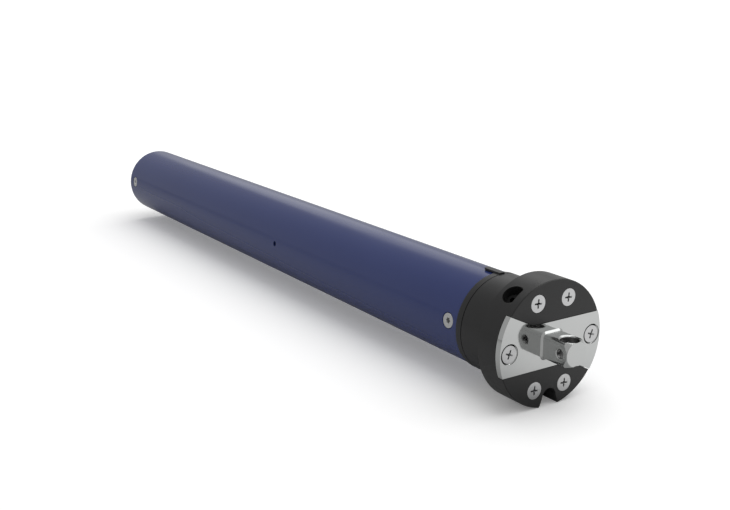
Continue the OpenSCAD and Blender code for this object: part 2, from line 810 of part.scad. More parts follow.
module motor_tube() {
    color([0.2, 0.23, 0.42]) difference() {
        disc(x_far, x_tube, tube_r);
        disc(x_far - 1, x_tube + 1, bore_r);
        for (turn = press_screw_turns) {
            outwards(x_tube - screw_in_head, turn, tube_r) tube_screw_hole(m5_len);
            outwards(x_far + screw_in_far, turn, tube_r) tube_screw_hole(m5_len);
        }
        outwards(-sight_x, screw_turn, bore_r - 1) cylinder(h = tube_wall + 2, r = sight_d / 2);
    }
}

module tube_screws() {
    color([0.7, 0.71, 0.72]) for (turn = press_screw_turns)
        outwards(x_tube - screw_in_head, turn, tube_r) tube_screw();
}

module gearbox_screws() {
    color([0.7, 0.71, 0.72]) for (turn = press_screw_turns)
        outwards(x_far + screw_in_far, turn, tube_r) tube_screw();
}

module limit_frame() {
    color([0.85, 0.84, 0.78]) difference() {
        union() {
            disc(x_frame_a, x_hub, inner_r);
            disc(x_frame_c, x_frame_b, inner_r);
            for (turn = pillar_turns) disc(x_frame_c + 1, x_hub - 1, pillar_r,
                pillar_orbit * cos(turn), pillar_orbit * sin(turn));
        }
        disc(x_frame_a - 1, x_hub + 1, pinion_shaft_d / 2 + pass_gap, 0, pinion_z);
        disc(x_frame_c - 1, x_hub + 1, post_d / 2);
        disc(x_frame_c - 1, x_frame_b + 1, post_d / 2, 0, post_low_z);
        for (z = [duct_z, frame_duct_z]) disc(x_frame_c - 1, x_hub + 1, frame_duct_r, 0, z);
        translate([x_frame_c - 1, -frame_duct_r, frame_duct_z])
            cube([x_hub - x_frame_c + 2, 2 * frame_duct_r, duct_z - frame_duct_z]);
    }
}

module limit_posts() {
    color([0.75, 0.76, 0.77]) {
        disc(x_frame_c, x_hub, post_d / 2);
        disc(x_frame_c, x_w1 - counter_gap, post_d / 2, 0, post_low_z);
    }
}

module limit_pinion() {
    color([0.9, 0.89, 0.84]) {
        gear(x_neck + side, x_cavity - side, pinion_teeth, crown_mod, pinion_turn, 0, pinion_z);
        disc(x_w1 - counter_gap, x_neck + side + eps, pinion_shaft_d / 2, 0, pinion_z);
        gear(x_w1 - counter_gap, x_frame_a - counter_gap / 2, first_small, first_mod * first_fix,
            pinion_turn, 0, pinion_z);
    }
}

module counter_wheel(x_low, big_n, big_mod, turn, z) {
    difference() {
        union() {
            gear(x_low, x_low + counter_face, big_n, big_mod, turn, 0, z);
            gear(x_low - counter_face - 1.5 * counter_gap, x_low + eps, count_small, count_mod,
                turn, 0, z);
        }
        disc(x_low - 2 * counter_face, x_low + 2 * counter_face, post_d / 2 + run, 0, z);
    }
}

module count_wheel_1() {
    color([0.93, 0.93, 0.9]) counter_wheel(x_w1, first_big, first_mod * first_fix, wheel_1_turn, 0);
}

module count_wheel_2() {
    color([0.78, 0.2, 0.16]) counter_wheel(x_w2, count_big, count_mod, wheel_2_turn, post_low_z);
}

module count_wheel_3() {
    color([0.93, 0.93, 0.9]) counter_wheel(x_w3, count_big, count_mod, wheel_3_turn, 0);
}

module cam_lobe(x, turn) {
    along_x(x - cam_w, 0, post_low_z) rotate(turn) linear_extrude(cam_w) intersection() {
        circle(r = cam_d / 2);
        polygon([[0, 0], [cam_d, -cam_half], [cam_d, cam_half]]);
    }
}

module cam_drum() {
    color([0.2, 0.45, 0.25]) difference() {
        union() {
            gear(x_w4, x_w4 + counter_face, count_big, count_mod, drum_turn, 0, post_low_z);
            disc(x_drum_end, x_w4 + eps, drum_d / 2, 0, post_low_z);
            cam_lobe(x_cam_up, cam_up_turn);
            cam_lobe(x_cam_down, cam_down_turn);
        }
        disc(x_drum_end - 1, x_w4 + 2 * counter_face, post_d / 2 + run, 0, post_low_z);
    }
}

module place_switch(s) {
    translate([0, 0, post_low_z]) rotate([s > 0 ? 0 : 180, 0, 0]) children();
}

module limit_switches() {
    color([0.1, 0.1, 0.11]) for (s = [-1, 1]) place_switch(s) {
        x = s > 0 ? x_cam_up : x_cam_down;
        difference() {
            translate([x_frame_b, switch_y, -switch_h / 2 + s * switch_shift])
                cube([x_cam_up - x_frame_b, switch_w, switch_h]);
            translate([x - cam_w / 2, switch_y - 1, 0]) rotate([-90, 0, 0])
                cylinder(h = 1 + plunger_in + plunger_travel + 0.2, r = plunger_d / 2 + run);
        }
    }
}

module switch_plunger(s) {
    x = (s > 0 ? x_cam_up : x_cam_down) - cam_w / 2;
    place_switch(s) translate([x, plunger_y, 0]) rotate([-90, 0, 0])
        cylinder(h = switch_y - plunger_y + plunger_in, r = plunger_d / 2);
}

module switch_plunger_up() {
    color([0.8, 0.15, 0.12]) switch_plunger(1);
}

module switch_plunger_down() {
    color([0.8, 0.15, 0.12]) switch_plunger(-1);
}

// A half shell with an end disc at each end
module electrics_tray() {
    color([0.2, 0.2, 0.21]) difference() {
        disc(x_motor_end, x_frame_c, tray_r);
        disc(x_motor_end + tray_wall, x_frame_c - tray_wall, tray_r - tray_wall);
        translate([x_motor_end + tray_wall, -tube_od, tray_top])
            cube([x_frame_c - x_motor_end - 2 * tray_wall, 2 * tube_od, tube_od]);
        disc(x_motor_end - 1, x_frame_c + 1, duct_d / 2, 0, tray_duct_z);
    }
}

module wiring_board() {
    half = sqrt(pow(tray_r - tray_wall / 2, 2) - pow(tray_top + board_t, 2));
    color([0.1, 0.35, 0.16]) translate([x_board - board_len, -half, tray_top])
        cube([board_len, 2 * half, board_t]);
}

module board_parts() {
    top = tray_top + board_t;
    color([0.12, 0.12, 0.13]) {
        for (k = [1, 2]) translate([x_board - k * relay_pitch, -relay[1] + 1, top]) cube(relay);
        translate([x_board - 2 * relay_pitch, terminals_y, top]) cube(terminals);
    }
}

module capacitor() {
    drop = tray_r - tray_wall - capacitor_d / 2 - capacitor_gap;
    color([0.82, 0.82, 0.8]) {
        disc(x_capacitor, x_capacitor + capacitor_len, capacitor_d / 2, 0, -drop);
        for (s = [-1, 1]) disc(x_capacitor + capacitor_len - eps, x_capacitor + capacitor_len + lug_len,
            lug_r, s * capacitor_d / 6, -drop);
    }
}

module bell(x_disc_low, x_skirt_low, x_skirt_high) {
    difference() {
        union() {
            disc(x_disc_low, x_disc_low + bell_t, inner_r);
            disc(x_skirt_low, x_skirt_high, inner_r);
        }
        difference() {
            disc(x_skirt_low - 1, x_skirt_high + 1, inner_r - bell_skirt);
            disc(x_disc_low, x_disc_low + bell_t, inner_r);
        }
        disc(x_disc_low - 1, x_disc_low + bell_t + 1, shaft_d);
    }
}

module front_bell() {
    color([0.62, 0.63, 0.65]) bell(x_front_bell, x_stack_end, x_front_bell + 1);
}

module rear_bell() {
    color([0.62, 0.63, 0.65]) bell(x_rear_bell, x_rear_bell + bell_t - 1, x_stack);
}

module stator_core() {
    color([0.45, 0.45, 0.47]) difference() {
        disc(x_stack, x_stack_end, inner_r);
        disc(x_stack - 1, x_stack_end + 1, stator_bore_r);
    }
}

module stator_windings() {
    color([0.72, 0.4, 0.2]) for (x = [x_stack - end_turn, x_stack_end]) difference() {
        disc(x, x + end_turn, inner_r - bell_skirt - coil_gap);
        disc(x - 1, x + end_turn + 1, stator_bore_r + coil_gap);
    }
}

module rotor() {
    color([0.6, 0.6, 0.62]) {
        disc(x_stack, x_stack_end, rotor_d / 2);
        disc(x_stack - end_ring_len, x_stack + eps, rotor_d / 2 - end_ring_step);
        disc(x_stack_end - eps, x_stack_end + end_ring_len, rotor_d / 2 - end_ring_step);
        disc(x_gear_cover + seat_depth, x_motor_end - seat_depth, shaft_d / 2);
        disc(x_p1, x_gear_cover + seat_depth + eps, tail_r);
    }
}

module rotor_bushes() {
    color([0.7, 0.52, 0.28]) for (x = [x_rear_bell, x_front_bell]) difference() {
        disc(x, x + bell_t, shaft_d);
        disc(x - 1, x + bell_t + 1, shaft_d / 2 + run);
    }
}

module at_bolts(offset) {
    for (k = [0 : 2]) rotate([120 * k + 30 + offset, 0, 0]) children();
}

module brake_yoke() {
    color([0.4, 0.4, 0.42]) difference() {
        disc(x_yoke, x_rear_bell, yoke_r);
        disc(x_yoke - 1, x_rear_bell + 1, shaft_d / 2 + shaft_gap);
        difference() {
            disc(x_yoke - 1, x_rear_bell - coil_back, coil_out);
            disc(x_yoke - 2, x_rear_bell, coil_in);
        }
        at_bolts(0) disc(x_yoke - 1, x_rear_bell + 1, brake_bolt_d / 2, bolt_circle, 0);
        at_bolts(60)
            disc(x_yoke - 1, x_yoke + spring_len, spring_d / 2 + brake_coil_gap, bolt_circle, 0);
    }
}

module brake_coil() {
    color([0.7, 0.38, 0.18]) difference() {
        disc(x_yoke + coil_room, x_rear_bell - coil_back, coil_out - brake_coil_gap);
        disc(x_yoke, x_rear_bell, coil_in + brake_coil_gap);
    }
}

module brake_springs() {
    color([0.75, 0.76, 0.77]) at_bolts(60) difference() {
        disc(x_yoke - spring_out, x_yoke + spring_len, spring_d / 2, bolt_circle, 0);
        disc(x_yoke - 1, x_yoke + spring_len + 1, spring_d / 2 - spring_wire, bolt_circle, 0);
    }
}

module brake_plate() {
    color([0.5, 0.5, 0.52]) difference() {
        disc(x_plate, x_plate + brake_plate_t, yoke_r - brake_gap);
        disc(x_plate - 1, x_plate + brake_plate_t + 1, shaft_d / 2 + shaft_gap);
        at_bolts(0) disc(x_plate - 1, x_plate + brake_plate_t + 1, brake_bolt_d / 2 + brake_gap,
            bolt_circle, 0);
    }
}

module brake_disc() {
    color([0.25, 0.23, 0.21]) difference() {
        disc(x_disc, x_disc + brake_disc_t, brake_disc_d / 2);
        disc(x_disc - 1, x_disc + brake_disc_t + 1, shaft_d / 2);
    }
}

module brake_bolts() {
    color([0.7, 0.71, 0.72]) at_bolts(0)
        disc(x_gear_cover + seat_depth, x_rear_bell, brake_bolt_d / 2, bolt_circle, 0);
}

module gearbox_cover() {
    color([0.55, 0.56, 0.58]) difference() {
        disc(x_gear_cover, x_gear_cover + gear_cover_t, inner_r);
        disc(x_gear_cover - 1, x_gear_cover + gear_cover_t + 1, shaft_d / 2 + pass_gap);
        at_bolts(0) disc(x_gear_cover + seat_depth, x_gear_cover + gear_cover_t + 1,
            brake_bolt_d / 2, bolt_circle, 0);
    }
}

module ring_gear() {
    color([0.5, 0.51, 0.53]) difference() {
        disc(x_cap, x_gear_cover, inner_r);
        gear_hollow(x_cap - 1, x_gear_cover + 1, ring_teeth, gear_mod, planet_start);
    }
}

module sun_gear() {
    color([0.66, 0.67, 0.69]) difference() {
        gear(x_p1, x_gear_cover - side / 2, sun_teeth, gear_mod, sun_turn);
        disc(x_p1 - 1, x_gear_cover + 1, tail_r);
    }
}

module planet(x_low, face, k) {
    at = planet_start + 120 * k;
    color([0.78, 0.7, 0.5]) difference() {
        gear(x_low, x_low + face, planet_teeth, gear_mod, planet_turn[k],
            orbit_r * cos(at), orbit_r * sin(at));
        disc(x_low - 1, x_low + face + 1, planet_pin_d / 2 + run, orbit_r * cos(at), orbit_r * sin(at));
    }
}

module planet_1a() {
    planet(x_p1, face_1, 0);
}

module planet_1b() {
    planet(x_p1, face_1, 1);
}

module planet_1c() {
    planet(x_p1, face_1, 2);
}

module planet_2a() {
    planet(x_p2, face_2, 0);
}

module planet_2b() {
    planet(x_p2, face_2, 1);
}

module planet_2c() {
    planet(x_p2, face_2, 2);
}

module planet_3a() {
    planet(x_p3, face_3, 0);
}

module planet_3b() {
    planet(x_p3, face_3, 1);
}

module planet_3c() {
    planet(x_p3, face_3, 2);
}

module carrier(x_low, thick, pin_len) {
    disc(x_low, x_low + thick, carrier_r);
    for (k = [0 : planet_count - 1]) {
        at = planet_start + 120 * k;
        disc(x_low + thick - 1, x_low + thick + pin_len, planet_pin_d / 2,
            orbit_r * cos(at), orbit_r * sin(at));
    }
}

module carrier_1() {
    color([0.6, 0.6, 0.63]) {
        carrier(x_c1, carrier_t_1, side + face_1);
        gear(x_p2, x_c1 + eps, sun_teeth, gear_mod, sun_turn);
    }
}

module carrier_2() {
    color([0.6, 0.6, 0.63]) {
        carrier(x_c2, carrier_t_2, side + face_2);
        gear(x_p3, x_c2 + eps, sun_teeth, gear_mod, sun_turn);
    }
}

module output_carrier() {
    color([0.6, 0.6, 0.63]) difference() {
        union() {
            carrier(x_c3, carrier_t_3, side + face_3);
            disc(x_clip - journal_end, x_c3 + 1, output_d / 2);
            along_x(x_far - hex_len) cylinder(h = hex_len, r = hex_af / sqrt(3), $fn = 6);
        }
        difference() {
            disc(x_clip - 0.05, x_clip + clip_w + 0.05, output_d);
            disc(x_clip - 1, x_clip + 2, output_d / 2 - clip_depth);
        }
        disc(x_far - hex_len - 1, x_far - hex_len + end_tap_len, end_tap_d / 2);
        cone(x_far - hex_len - eps, x_far - hex_len + 1, end_tap_d / 2 + 1, end_tap_d / 2);
    }
}

module output_clip() {
    color([0.3, 0.3, 0.32]) difference() {
        disc(x_clip, x_clip + clip_w, output_d / 2 + clip_over);
        disc(x_clip - 1, x_clip + 2, output_d / 2 - clip_depth);
        translate([x_clip - 1, -clip_slot / 2, 0]) cube([clip_w + 2, clip_slot, output_d]);
    }
}

module end_cap() {
    color([0.16, 0.16, 0.17]) difference() {
        bevelled_disc(x_far, x_cap, inner_r, rim_bevel, 0.01);
        disc(x_far - 1, x_cap + 1, bush_od / 2);
        for (turn = press_screw_turns) outwards(x_far + screw_in_far, turn, tube_r)
            tube_screw_hole(m5_len + 0.5);
        for (k = [0 : 5]) rotate([60 * k + 30, 0, 0])
            translate([x_far - 1, bush_od / 2 + cap_wall, -cap_pocket_w / 2])
                cube([cap_pocket_depth + 1, inner_r - bush_od / 2 - 2 * cap_wall, cap_pocket_w]);
    }
}

module output_bush() {
    color([0.7, 0.52, 0.28]) difference() {
        disc(x_far, x_cap, bush_od / 2);
        disc(x_far - 1, x_cap + 1, output_d / 2 + run);
    }
}

head_cover();
head_body();
mounting_plate();
plate_screws();
cover_screws();
cable_socket();
socket_pins();
limit_screw_up();
limit_screw_down();
crown_ring();
tube_hub();
hub_screws();
motor_tube();
tube_screws();
gearbox_screws();
limit_frame();
limit_posts();
limit_pinion();
count_wheel_1();
count_wheel_2();
count_wheel_3();
cam_drum();
limit_switches();
switch_plunger_up();
switch_plunger_down();
electrics_tray();
wiring_board();
board_parts();
capacitor();
front_bell();
rear_bell();
stator_core();
stator_windings();
rotor();
rotor_bushes();
brake_yoke();
brake_coil();
brake_springs();
brake_plate();
brake_disc();
brake_bolts();
gearbox_cover();
ring_gear();
sun_gear();
carrier_1();
carrier_2();
output_carrier();
planet_1a();
planet_1b();
planet_1c();
planet_2a();
planet_2b();
planet_2c();
planet_3a();
planet_3b();
planet_3c();
end_cap();
output_bush();
output_clip();
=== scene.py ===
import json
import math

import bmesh
import bpy
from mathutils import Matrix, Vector


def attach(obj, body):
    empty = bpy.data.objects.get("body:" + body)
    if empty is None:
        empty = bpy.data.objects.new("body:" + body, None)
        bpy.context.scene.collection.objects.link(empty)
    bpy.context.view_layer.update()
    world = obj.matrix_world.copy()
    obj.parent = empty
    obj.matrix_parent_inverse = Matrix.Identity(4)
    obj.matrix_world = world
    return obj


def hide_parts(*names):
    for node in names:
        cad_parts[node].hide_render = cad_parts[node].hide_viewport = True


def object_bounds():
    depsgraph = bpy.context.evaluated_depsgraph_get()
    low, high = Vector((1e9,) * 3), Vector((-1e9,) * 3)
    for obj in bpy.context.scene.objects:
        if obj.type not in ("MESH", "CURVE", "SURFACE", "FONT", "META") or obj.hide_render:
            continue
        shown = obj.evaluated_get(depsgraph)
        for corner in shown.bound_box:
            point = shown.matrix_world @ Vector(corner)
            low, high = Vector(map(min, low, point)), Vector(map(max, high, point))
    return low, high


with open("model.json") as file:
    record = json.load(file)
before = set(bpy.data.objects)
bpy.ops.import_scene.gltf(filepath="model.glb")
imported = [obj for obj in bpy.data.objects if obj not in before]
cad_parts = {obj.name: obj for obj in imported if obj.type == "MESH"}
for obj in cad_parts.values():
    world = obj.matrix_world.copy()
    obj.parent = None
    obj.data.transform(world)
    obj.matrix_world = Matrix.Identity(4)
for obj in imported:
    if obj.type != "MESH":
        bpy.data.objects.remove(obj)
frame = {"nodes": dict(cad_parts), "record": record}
cadLow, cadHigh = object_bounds()
mm = 0.001
perMetre = 1000.0
nearlyNone = 0.001  # in millimetres: points closer than this are one
nodes = frame["nodes"]


# Node helpers: a socket takes either a value or a link from another socket

def feed(tree, target, value):
    if isinstance(value, bpy.types.NodeSocket):
        tree.links.new(value, target)
    else:
        target.default_value = value


def place(tree, kind, values=(), **settings):
    made = tree.nodes.new(kind)
    for name, value in settings.items():
        setattr(made, name, value)
    for key, value in dict(values).items():
        feed(tree, made.inputs[key], value)
    return made


def calc(tree, operation, *values):
    made = place(tree, "ShaderNodeMath", operation=operation)
    for index, value in enumerate(values):
        feed(tree, made.inputs[index], value)
    return made.outputs[0]


# Noise mostly lies between 0.3 and 0.7, so that is the usual span it is remapped from
def remap(tree, value, low, high, fromLow=0.3, fromHigh=0.7):
    return place(tree, "ShaderNodeMapRange", {
        "Value": value, "From Min": fromLow, "From Max": fromHigh,
        "To Min": low, "To Max": high}).outputs["Result"]


# The Mix node's sockets go by number: its values are 2 and 3, its colours 6 and 7
def blendColours(tree, mask, low, high):
    return place(tree, "ShaderNodeMix", {0: mask, 6: low, 7: high}, data_type="RGBA").outputs[2]


def blendValues(tree, mask, low, high):
    return place(tree, "ShaderNodeMix", {0: mask, 2: low, 3: high}).outputs[0]


def hypotenuse(tree, one, other):
    return calc(tree, "SQRT", calc(tree, "ADD", calc(tree, "MULTIPLY", one, one),
                                   calc(tree, "MULTIPLY", other, other)))


def ringPoint(tree, radius, angle, height):
    return place(tree, "ShaderNodeCombineXYZ", {
        "X": calc(tree, "MULTIPLY", radius, calc(tree, "COSINE", angle)),
        "Y": calc(tree, "MULTIPLY", radius, calc(tree, "SINE", angle)),
        "Z": height}).outputs["Vector"]


def newGroup(name, inputs, outputs):
    tree = bpy.data.node_groups.new(name, "ShaderNodeTree")
    for label, value in inputs.items():
        kind = "NodeSocketVector" if isinstance(value, tuple) else "NodeSocketFloat"
        socket = tree.interface.new_socket(label, in_out="INPUT", socket_type=kind)
        socket.default_value = value
    for label in outputs:
        tree.interface.new_socket(label, in_out="OUTPUT", socket_type="NodeSocketFloat")
    return tree, tree.nodes.new("NodeGroupInput"), tree.nodes.new("NodeGroupOutput")


def objectPoint(tree):
    return tree.nodes.new("ShaderNodeTexCoord").outputs["Object"]


noiseKinds = {
    "grain": {"Detail": 3.0, "Roughness": 0.55}, "cloud": {"Detail": 4.0, "Roughness": 0.55},
    "turned": {"Detail": 2.0, "Roughness": 0.6}, "hairlines": {"Detail": 2.0, "Roughness": 0.5}}


def noiseHeight(tree, kind, point, size):
    scale = calc(tree, "DIVIDE", perMetre, size)
    return place(tree, "ShaderNodeTexNoise", {
        "Vector": point, "Scale": scale, **noiseKinds[kind]}).outputs["Fac"]


# Even grain: fine moulding or casting texture, with a slow cloud over it

def makeGrain():
    tree, given, result = newGroup("evenGrain", {"Grain mm": 0.5, "Cloud mm": 30.0},
                                   ["Height", "Cloud"])
    point = objectPoint(tree)
    feed(tree, result.inputs["Height"],
         noiseHeight(tree, "grain", point, given.outputs["Grain mm"]))
    feed(tree, result.inputs["Cloud"],
         noiseHeight(tree, "cloud", point, given.outputs["Cloud mm"]))
    return tree


# Tool marks that run round the motor's axis, on faces and on round sides alike

def makeTurned():
    tree, given, result = newGroup("turnedMarks", {"Pitch mm": 0.4}, ["Height"])
    split = place(tree, "ShaderNodeSeparateXYZ", {"Vector": objectPoint(tree)})
    radius = hypotenuse(tree, split.outputs["Y"], split.outputs["Z"])
    spot = place(tree, "ShaderNodeCombineXYZ", {"X": split.outputs["X"], "Y": radius, "Z": 0.0})
    feed(tree, result.inputs["Height"],
         noiseHeight(tree, "turned", spot.outputs[0], given.outputs["Pitch mm"]))
    return tree


# Straight hairlines, as on rolled or ground metal: long in one direction

def makeHairlines():
    tree, given, result = newGroup("hairlines", {"Width mm": 0.15, "Stretch": 40.0}, ["Height"])
    split = place(tree, "ShaderNodeSeparateXYZ", {"Vector": objectPoint(tree)})
    along = calc(tree, "DIVIDE", split.outputs["Y"], given.outputs["Stretch"])
    spot = place(tree, "ShaderNodeCombineXYZ", {
        "X": split.outputs["X"], "Y": along, "Z": split.outputs["Z"]})
    feed(tree, result.inputs["Height"],
         noiseHeight(tree, "hairlines", spot.outputs[0], given.outputs["Width mm"]))
    return tree


# Stacked sheets across the axis: a thin dark joint at every sheet

def makeStacked():
    tree, given, result = newGroup("stackedSheets", {"Sheet mm": 0.5, "Joint Share": 0.2},
                                   ["Height"])
    split = place(tree, "ShaderNodeSeparateXYZ", {"Vector": objectPoint(tree)})
    steps = calc(tree, "DIVIDE", calc(tree, "MULTIPLY", split.outputs["X"], perMetre),
                 given.outputs["Sheet mm"])
    wave = calc(tree, "PINGPONG", steps, 0.5)
    feed(tree, result.inputs["Height"],
         remap(tree, wave, 0.0, 1.0, 0.0, given.outputs["Joint Share"]))
    return tree


# The stud in front of its plate, and the walls of the two holes drilled through it, which get
# painted shade

def makeStudWork():
    tree, given, result = newGroup("studWork", {
        "Root mm": 1.2, "Place mm": 14.2, "Upright Radius mm": 5.6, "Upright Reach mm": 6.7,
        "Level Radius mm": 2.7, "Level Reach mm": 7.1}, ["Stud", "Wall"])
    split = place(tree, "ShaderNodeSeparateXYZ", {"Vector": objectPoint(tree)})
    x, y, z = (calc(tree, "MULTIPLY", split.outputs[axis], perMetre) for axis in "XYZ")
    along = calc(tree, "SUBTRACT", x, given.outputs["Place mm"])
    masks = []
    for kind, side, height in (("Upright", y, z), ("Level", z, y)):
        near = calc(tree, "LESS_THAN", hypotenuse(tree, along, side),
                    given.outputs[kind + " Radius mm"])
        deep = calc(tree, "LESS_THAN", calc(tree, "ABSOLUTE", height),
                    given.outputs[kind + " Reach mm"])
        masks.append(calc(tree, "MULTIPLY", near, deep))
    feed(tree, result.inputs["Wall"], calc(tree, "MAXIMUM", *masks))
    feed(tree, result.inputs["Stud"], calc(tree, "GREATER_THAN", x, given.outputs["Root mm"]))
    return tree


grain, turned, hairlines, stacked = makeGrain(), makeTurned(), makeHairlines(), makeStacked()
studWork = makeStudWork()


# One material for each finish. Where it has a pattern, only a share of the grain is kept

grainShare = 0.3


def makeMaterial(name, look):
    material = bpy.data.materials.new(name)
    material.use_nodes = True
    tree = material.node_tree
    shader = tree.nodes["Principled BSDF"]
    shader.inputs["Metallic"].default_value = look.get("metallic", 0.0)
    shader.inputs["IOR"].default_value = look.get("ior", 1.5)
    base = place(tree, "ShaderNodeGroup", node_tree=grain)
    base.inputs["Grain mm"].default_value = look["grainSize"]
    base.inputs["Cloud mm"].default_value = look.get("cloudSize", 30.0)
    cloud = base.outputs["Cloud"]
    colour = blendColours(tree, remap(tree, cloud, 0, 1), (*look["colour"], 1),
                          (*look["fleck"], 1))
    middle, spread = look["roughness"], look["roughSpread"]
    roughness = remap(tree, cloud, middle - spread, middle + spread)
    if "holeShadeColour" in look:
        stud = place(tree, "ShaderNodeGroup", node_tree=studWork).outputs
        # Painted shade: the hole walls are darkened as the inside of a hole is shaded; their
        # extra roughness is the real drilled finish
        colour = blendColours(tree, stud["Wall"], colour, (*look["holeShadeColour"], 1))
        roughness = blendValues(tree, stud["Stud"], roughness, look["studRoughness"])
        roughness = blendValues(tree, stud["Wall"], roughness, look["holeRoughness"])
    feed(tree, shader.inputs["Base Color"], colour)
    feed(tree, shader.inputs["Roughness"], roughness)
    height = base.outputs["Height"]
    if "pattern" in look:
        marks = place(tree, "ShaderNodeGroup", node_tree=look["pattern"])
        marks.inputs[0].default_value = look["patternSize"]
        height = calc(tree, "ADD", calc(tree, "MULTIPLY", height, grainShare),
                      marks.outputs["Height"])
    bump = place(tree, "ShaderNodeBump", {
        "Height": height, "Strength": look["bump"], "Distance": look["bumpDepth"] * mm})
    feed(tree, shader.inputs["Normal"], bump.outputs["Normal"])
    return material


# Finishes: colours, sizes in millimetres, and how deep the bump is

looks = {
    "black_nylon": {
        "colour": (0.012, 0.012, 0.0122), "fleck": (0.014, 0.014, 0.0142),
        "roughness": 0.32, "ior": 1.46, "roughSpread": 0.05, "grainSize": 0.35, "bump": 0.25,
        "bumpDepth": 0.02},
    "blue_paint": {
        "colour": (0.020, 0.034, 0.138), "fleck": (0.022, 0.037, 0.146), "roughness": 0.2,
        "roughSpread": 0.04, "grainSize": 0.9, "bump": 0.12, "bumpDepth": 0.02,
        "cloudSize": 60.0},
    "polished_plate": {
        "colour": (0.56, 0.572, 0.566), "fleck": (0.585, 0.592, 0.586), "metallic": 1.0,
        "roughness": 0.07, "roughSpread": 0.02, "grainSize": 0.3, "bump": 0.03,
        "bumpDepth": 0.01, "pattern": hairlines, "patternSize": 0.12,
        # Inside the stud's holes: a darker colour that is painted shade, and a rougher drilled
        # finish
        "studRoughness": 0.22, "holeShadeColour": (0.22, 0.22, 0.22), "holeRoughness": 0.45},
    "zinc_screws": {
        "colour": (0.58, 0.585, 0.59), "fleck": (0.62, 0.62, 0.62), "metallic": 1.0,
        "roughness": 0.26, "roughSpread": 0.05, "grainSize": 0.25, "bump": 0.15,
        "bumpDepth": 0.01},
    "socket_plastic": {
        "colour": (0.008, 0.008, 0.0085), "fleck": (0.011, 0.011, 0.011), "roughness": 0.45,
        "roughSpread": 0.05, "grainSize": 0.3, "bump": 0.2, "bumpDepth": 0.02},
    "gilt_contacts": {
        "colour": (0.83, 0.60, 0.24), "fleck": (0.86, 0.66, 0.30), "metallic": 1.0,
        "roughness": 0.2, "roughSpread": 0.04, "grainSize": 0.2, "bump": 0.05,
        "bumpDepth": 0.01},
    # Near black: painted shade for the adjusting screws deep inside the head's access holes
    "adjuster_steel": {
        "colour": (0.01, 0.01, 0.0105), "fleck": (0.014, 0.014, 0.0145), "metallic": 1.0,
        "roughness": 0.5, "roughSpread": 0.05, "grainSize": 0.2, "bump": 0.1,
        "bumpDepth": 0.01},
    "grey_nylon": {
        "colour": (0.085, 0.088, 0.092), "fleck": (0.10, 0.103, 0.107), "roughness": 0.5,
        "roughSpread": 0.05, "grainSize": 0.4, "bump": 0.25, "bumpDepth": 0.03},
    "natural_acetal": {
        "colour": (0.70, 0.68, 0.60), "fleck": (0.74, 0.72, 0.64), "roughness": 0.42,
        "roughSpread": 0.05, "grainSize": 0.3, "bump": 0.1, "bumpDepth": 0.01},
    "red_acetal": {
        "colour": (0.42, 0.03, 0.02), "fleck": (0.47, 0.04, 0.025), "roughness": 0.4,
        "roughSpread": 0.05, "grainSize": 0.3, "bump": 0.1, "bumpDepth": 0.01},
    "green_acetal": {
        "colour": (0.03, 0.16, 0.05), "fleck": (0.04, 0.19, 0.06), "roughness": 0.4,
        "roughSpread": 0.05, "grainSize": 0.3, "bump": 0.1, "bumpDepth": 0.01},
    "bright_steel": {
        "colour": (0.55, 0.56, 0.58), "fleck": (0.60, 0.61, 0.62), "metallic": 1.0,
        "roughness": 0.25, "roughSpread": 0.06, "grainSize": 0.3, "bump": 0.15,
        "bumpDepth": 0.01, "pattern": turned, "patternSize": 0.5},
    "spring_steel": {
        "colour": (0.06, 0.06, 0.065), "fleck": (0.08, 0.08, 0.085), "metallic": 1.0,
        "roughness": 0.35, "roughSpread": 0.05, "grainSize": 0.2, "bump": 0.1,
        "bumpDepth": 0.01},
    "fibreglass": {
        "colour": (0.012, 0.10, 0.03), "fleck": (0.016, 0.12, 0.04), "roughness": 0.3,
        "roughSpread": 0.05, "grainSize": 0.5, "bump": 0.1, "bumpDepth": 0.02},
    "capacitor_case": {
        "colour": (0.66, 0.66, 0.64), "fleck": (0.70, 0.70, 0.68), "roughness": 0.35,
        "roughSpread": 0.05, "grainSize": 0.5, "bump": 0.1, "bumpDepth": 0.01},
    "cast_aluminium": {
        "colour": (0.50, 0.51, 0.52), "fleck": (0.56, 0.57, 0.58), "metallic": 1.0,
        "roughness": 0.45, "roughSpread": 0.08, "grainSize": 0.6, "bump": 0.5,
        "bumpDepth": 0.05},
    "laminations": {
        "colour": (0.16, 0.16, 0.165), "fleck": (0.22, 0.22, 0.225), "metallic": 1.0,
        "roughness": 0.45, "roughSpread": 0.08, "grainSize": 0.4, "bump": 0.6,
        "bumpDepth": 0.05, "pattern": stacked, "patternSize": 0.65},
    "copper_wire": {
        "colour": (0.55, 0.20, 0.07), "fleck": (0.62, 0.26, 0.10), "metallic": 1.0,
        "roughness": 0.28, "roughSpread": 0.06, "grainSize": 0.3, "bump": 0.2,
        "bumpDepth": 0.02},
    "bronze": {
        "colour": (0.50, 0.33, 0.14), "fleck": (0.56, 0.38, 0.17), "metallic": 1.0,
        "roughness": 0.38, "roughSpread": 0.06, "grainSize": 0.2, "bump": 0.3,
        "bumpDepth": 0.02, "pattern": turned, "patternSize": 0.4},
    "friction_lining": {
        "colour": (0.05, 0.042, 0.038), "fleck": (0.08, 0.065, 0.055), "roughness": 0.75,
        "roughSpread": 0.08, "grainSize": 0.5, "bump": 0.7, "bumpDepth": 0.08,
        "cloudSize": 3.0},
    "gear_steel": {
        "colour": (0.34, 0.35, 0.37), "fleck": (0.40, 0.41, 0.43), "metallic": 1.0,
        "roughness": 0.32, "roughSpread": 0.06, "grainSize": 0.3, "bump": 0.2,
        "bumpDepth": 0.01, "pattern": turned, "patternSize": 0.6},
}
materials = {name: makeMaterial(name, look) for name, look in looks.items()}
nodeSlot = {row["node"]: row["material_slot"] for row in frame["record"]["subparts"]}
nodeBody = {node: body for body, names in frame["record"]["behaviour"]["bodies"].items()
            for node in names}
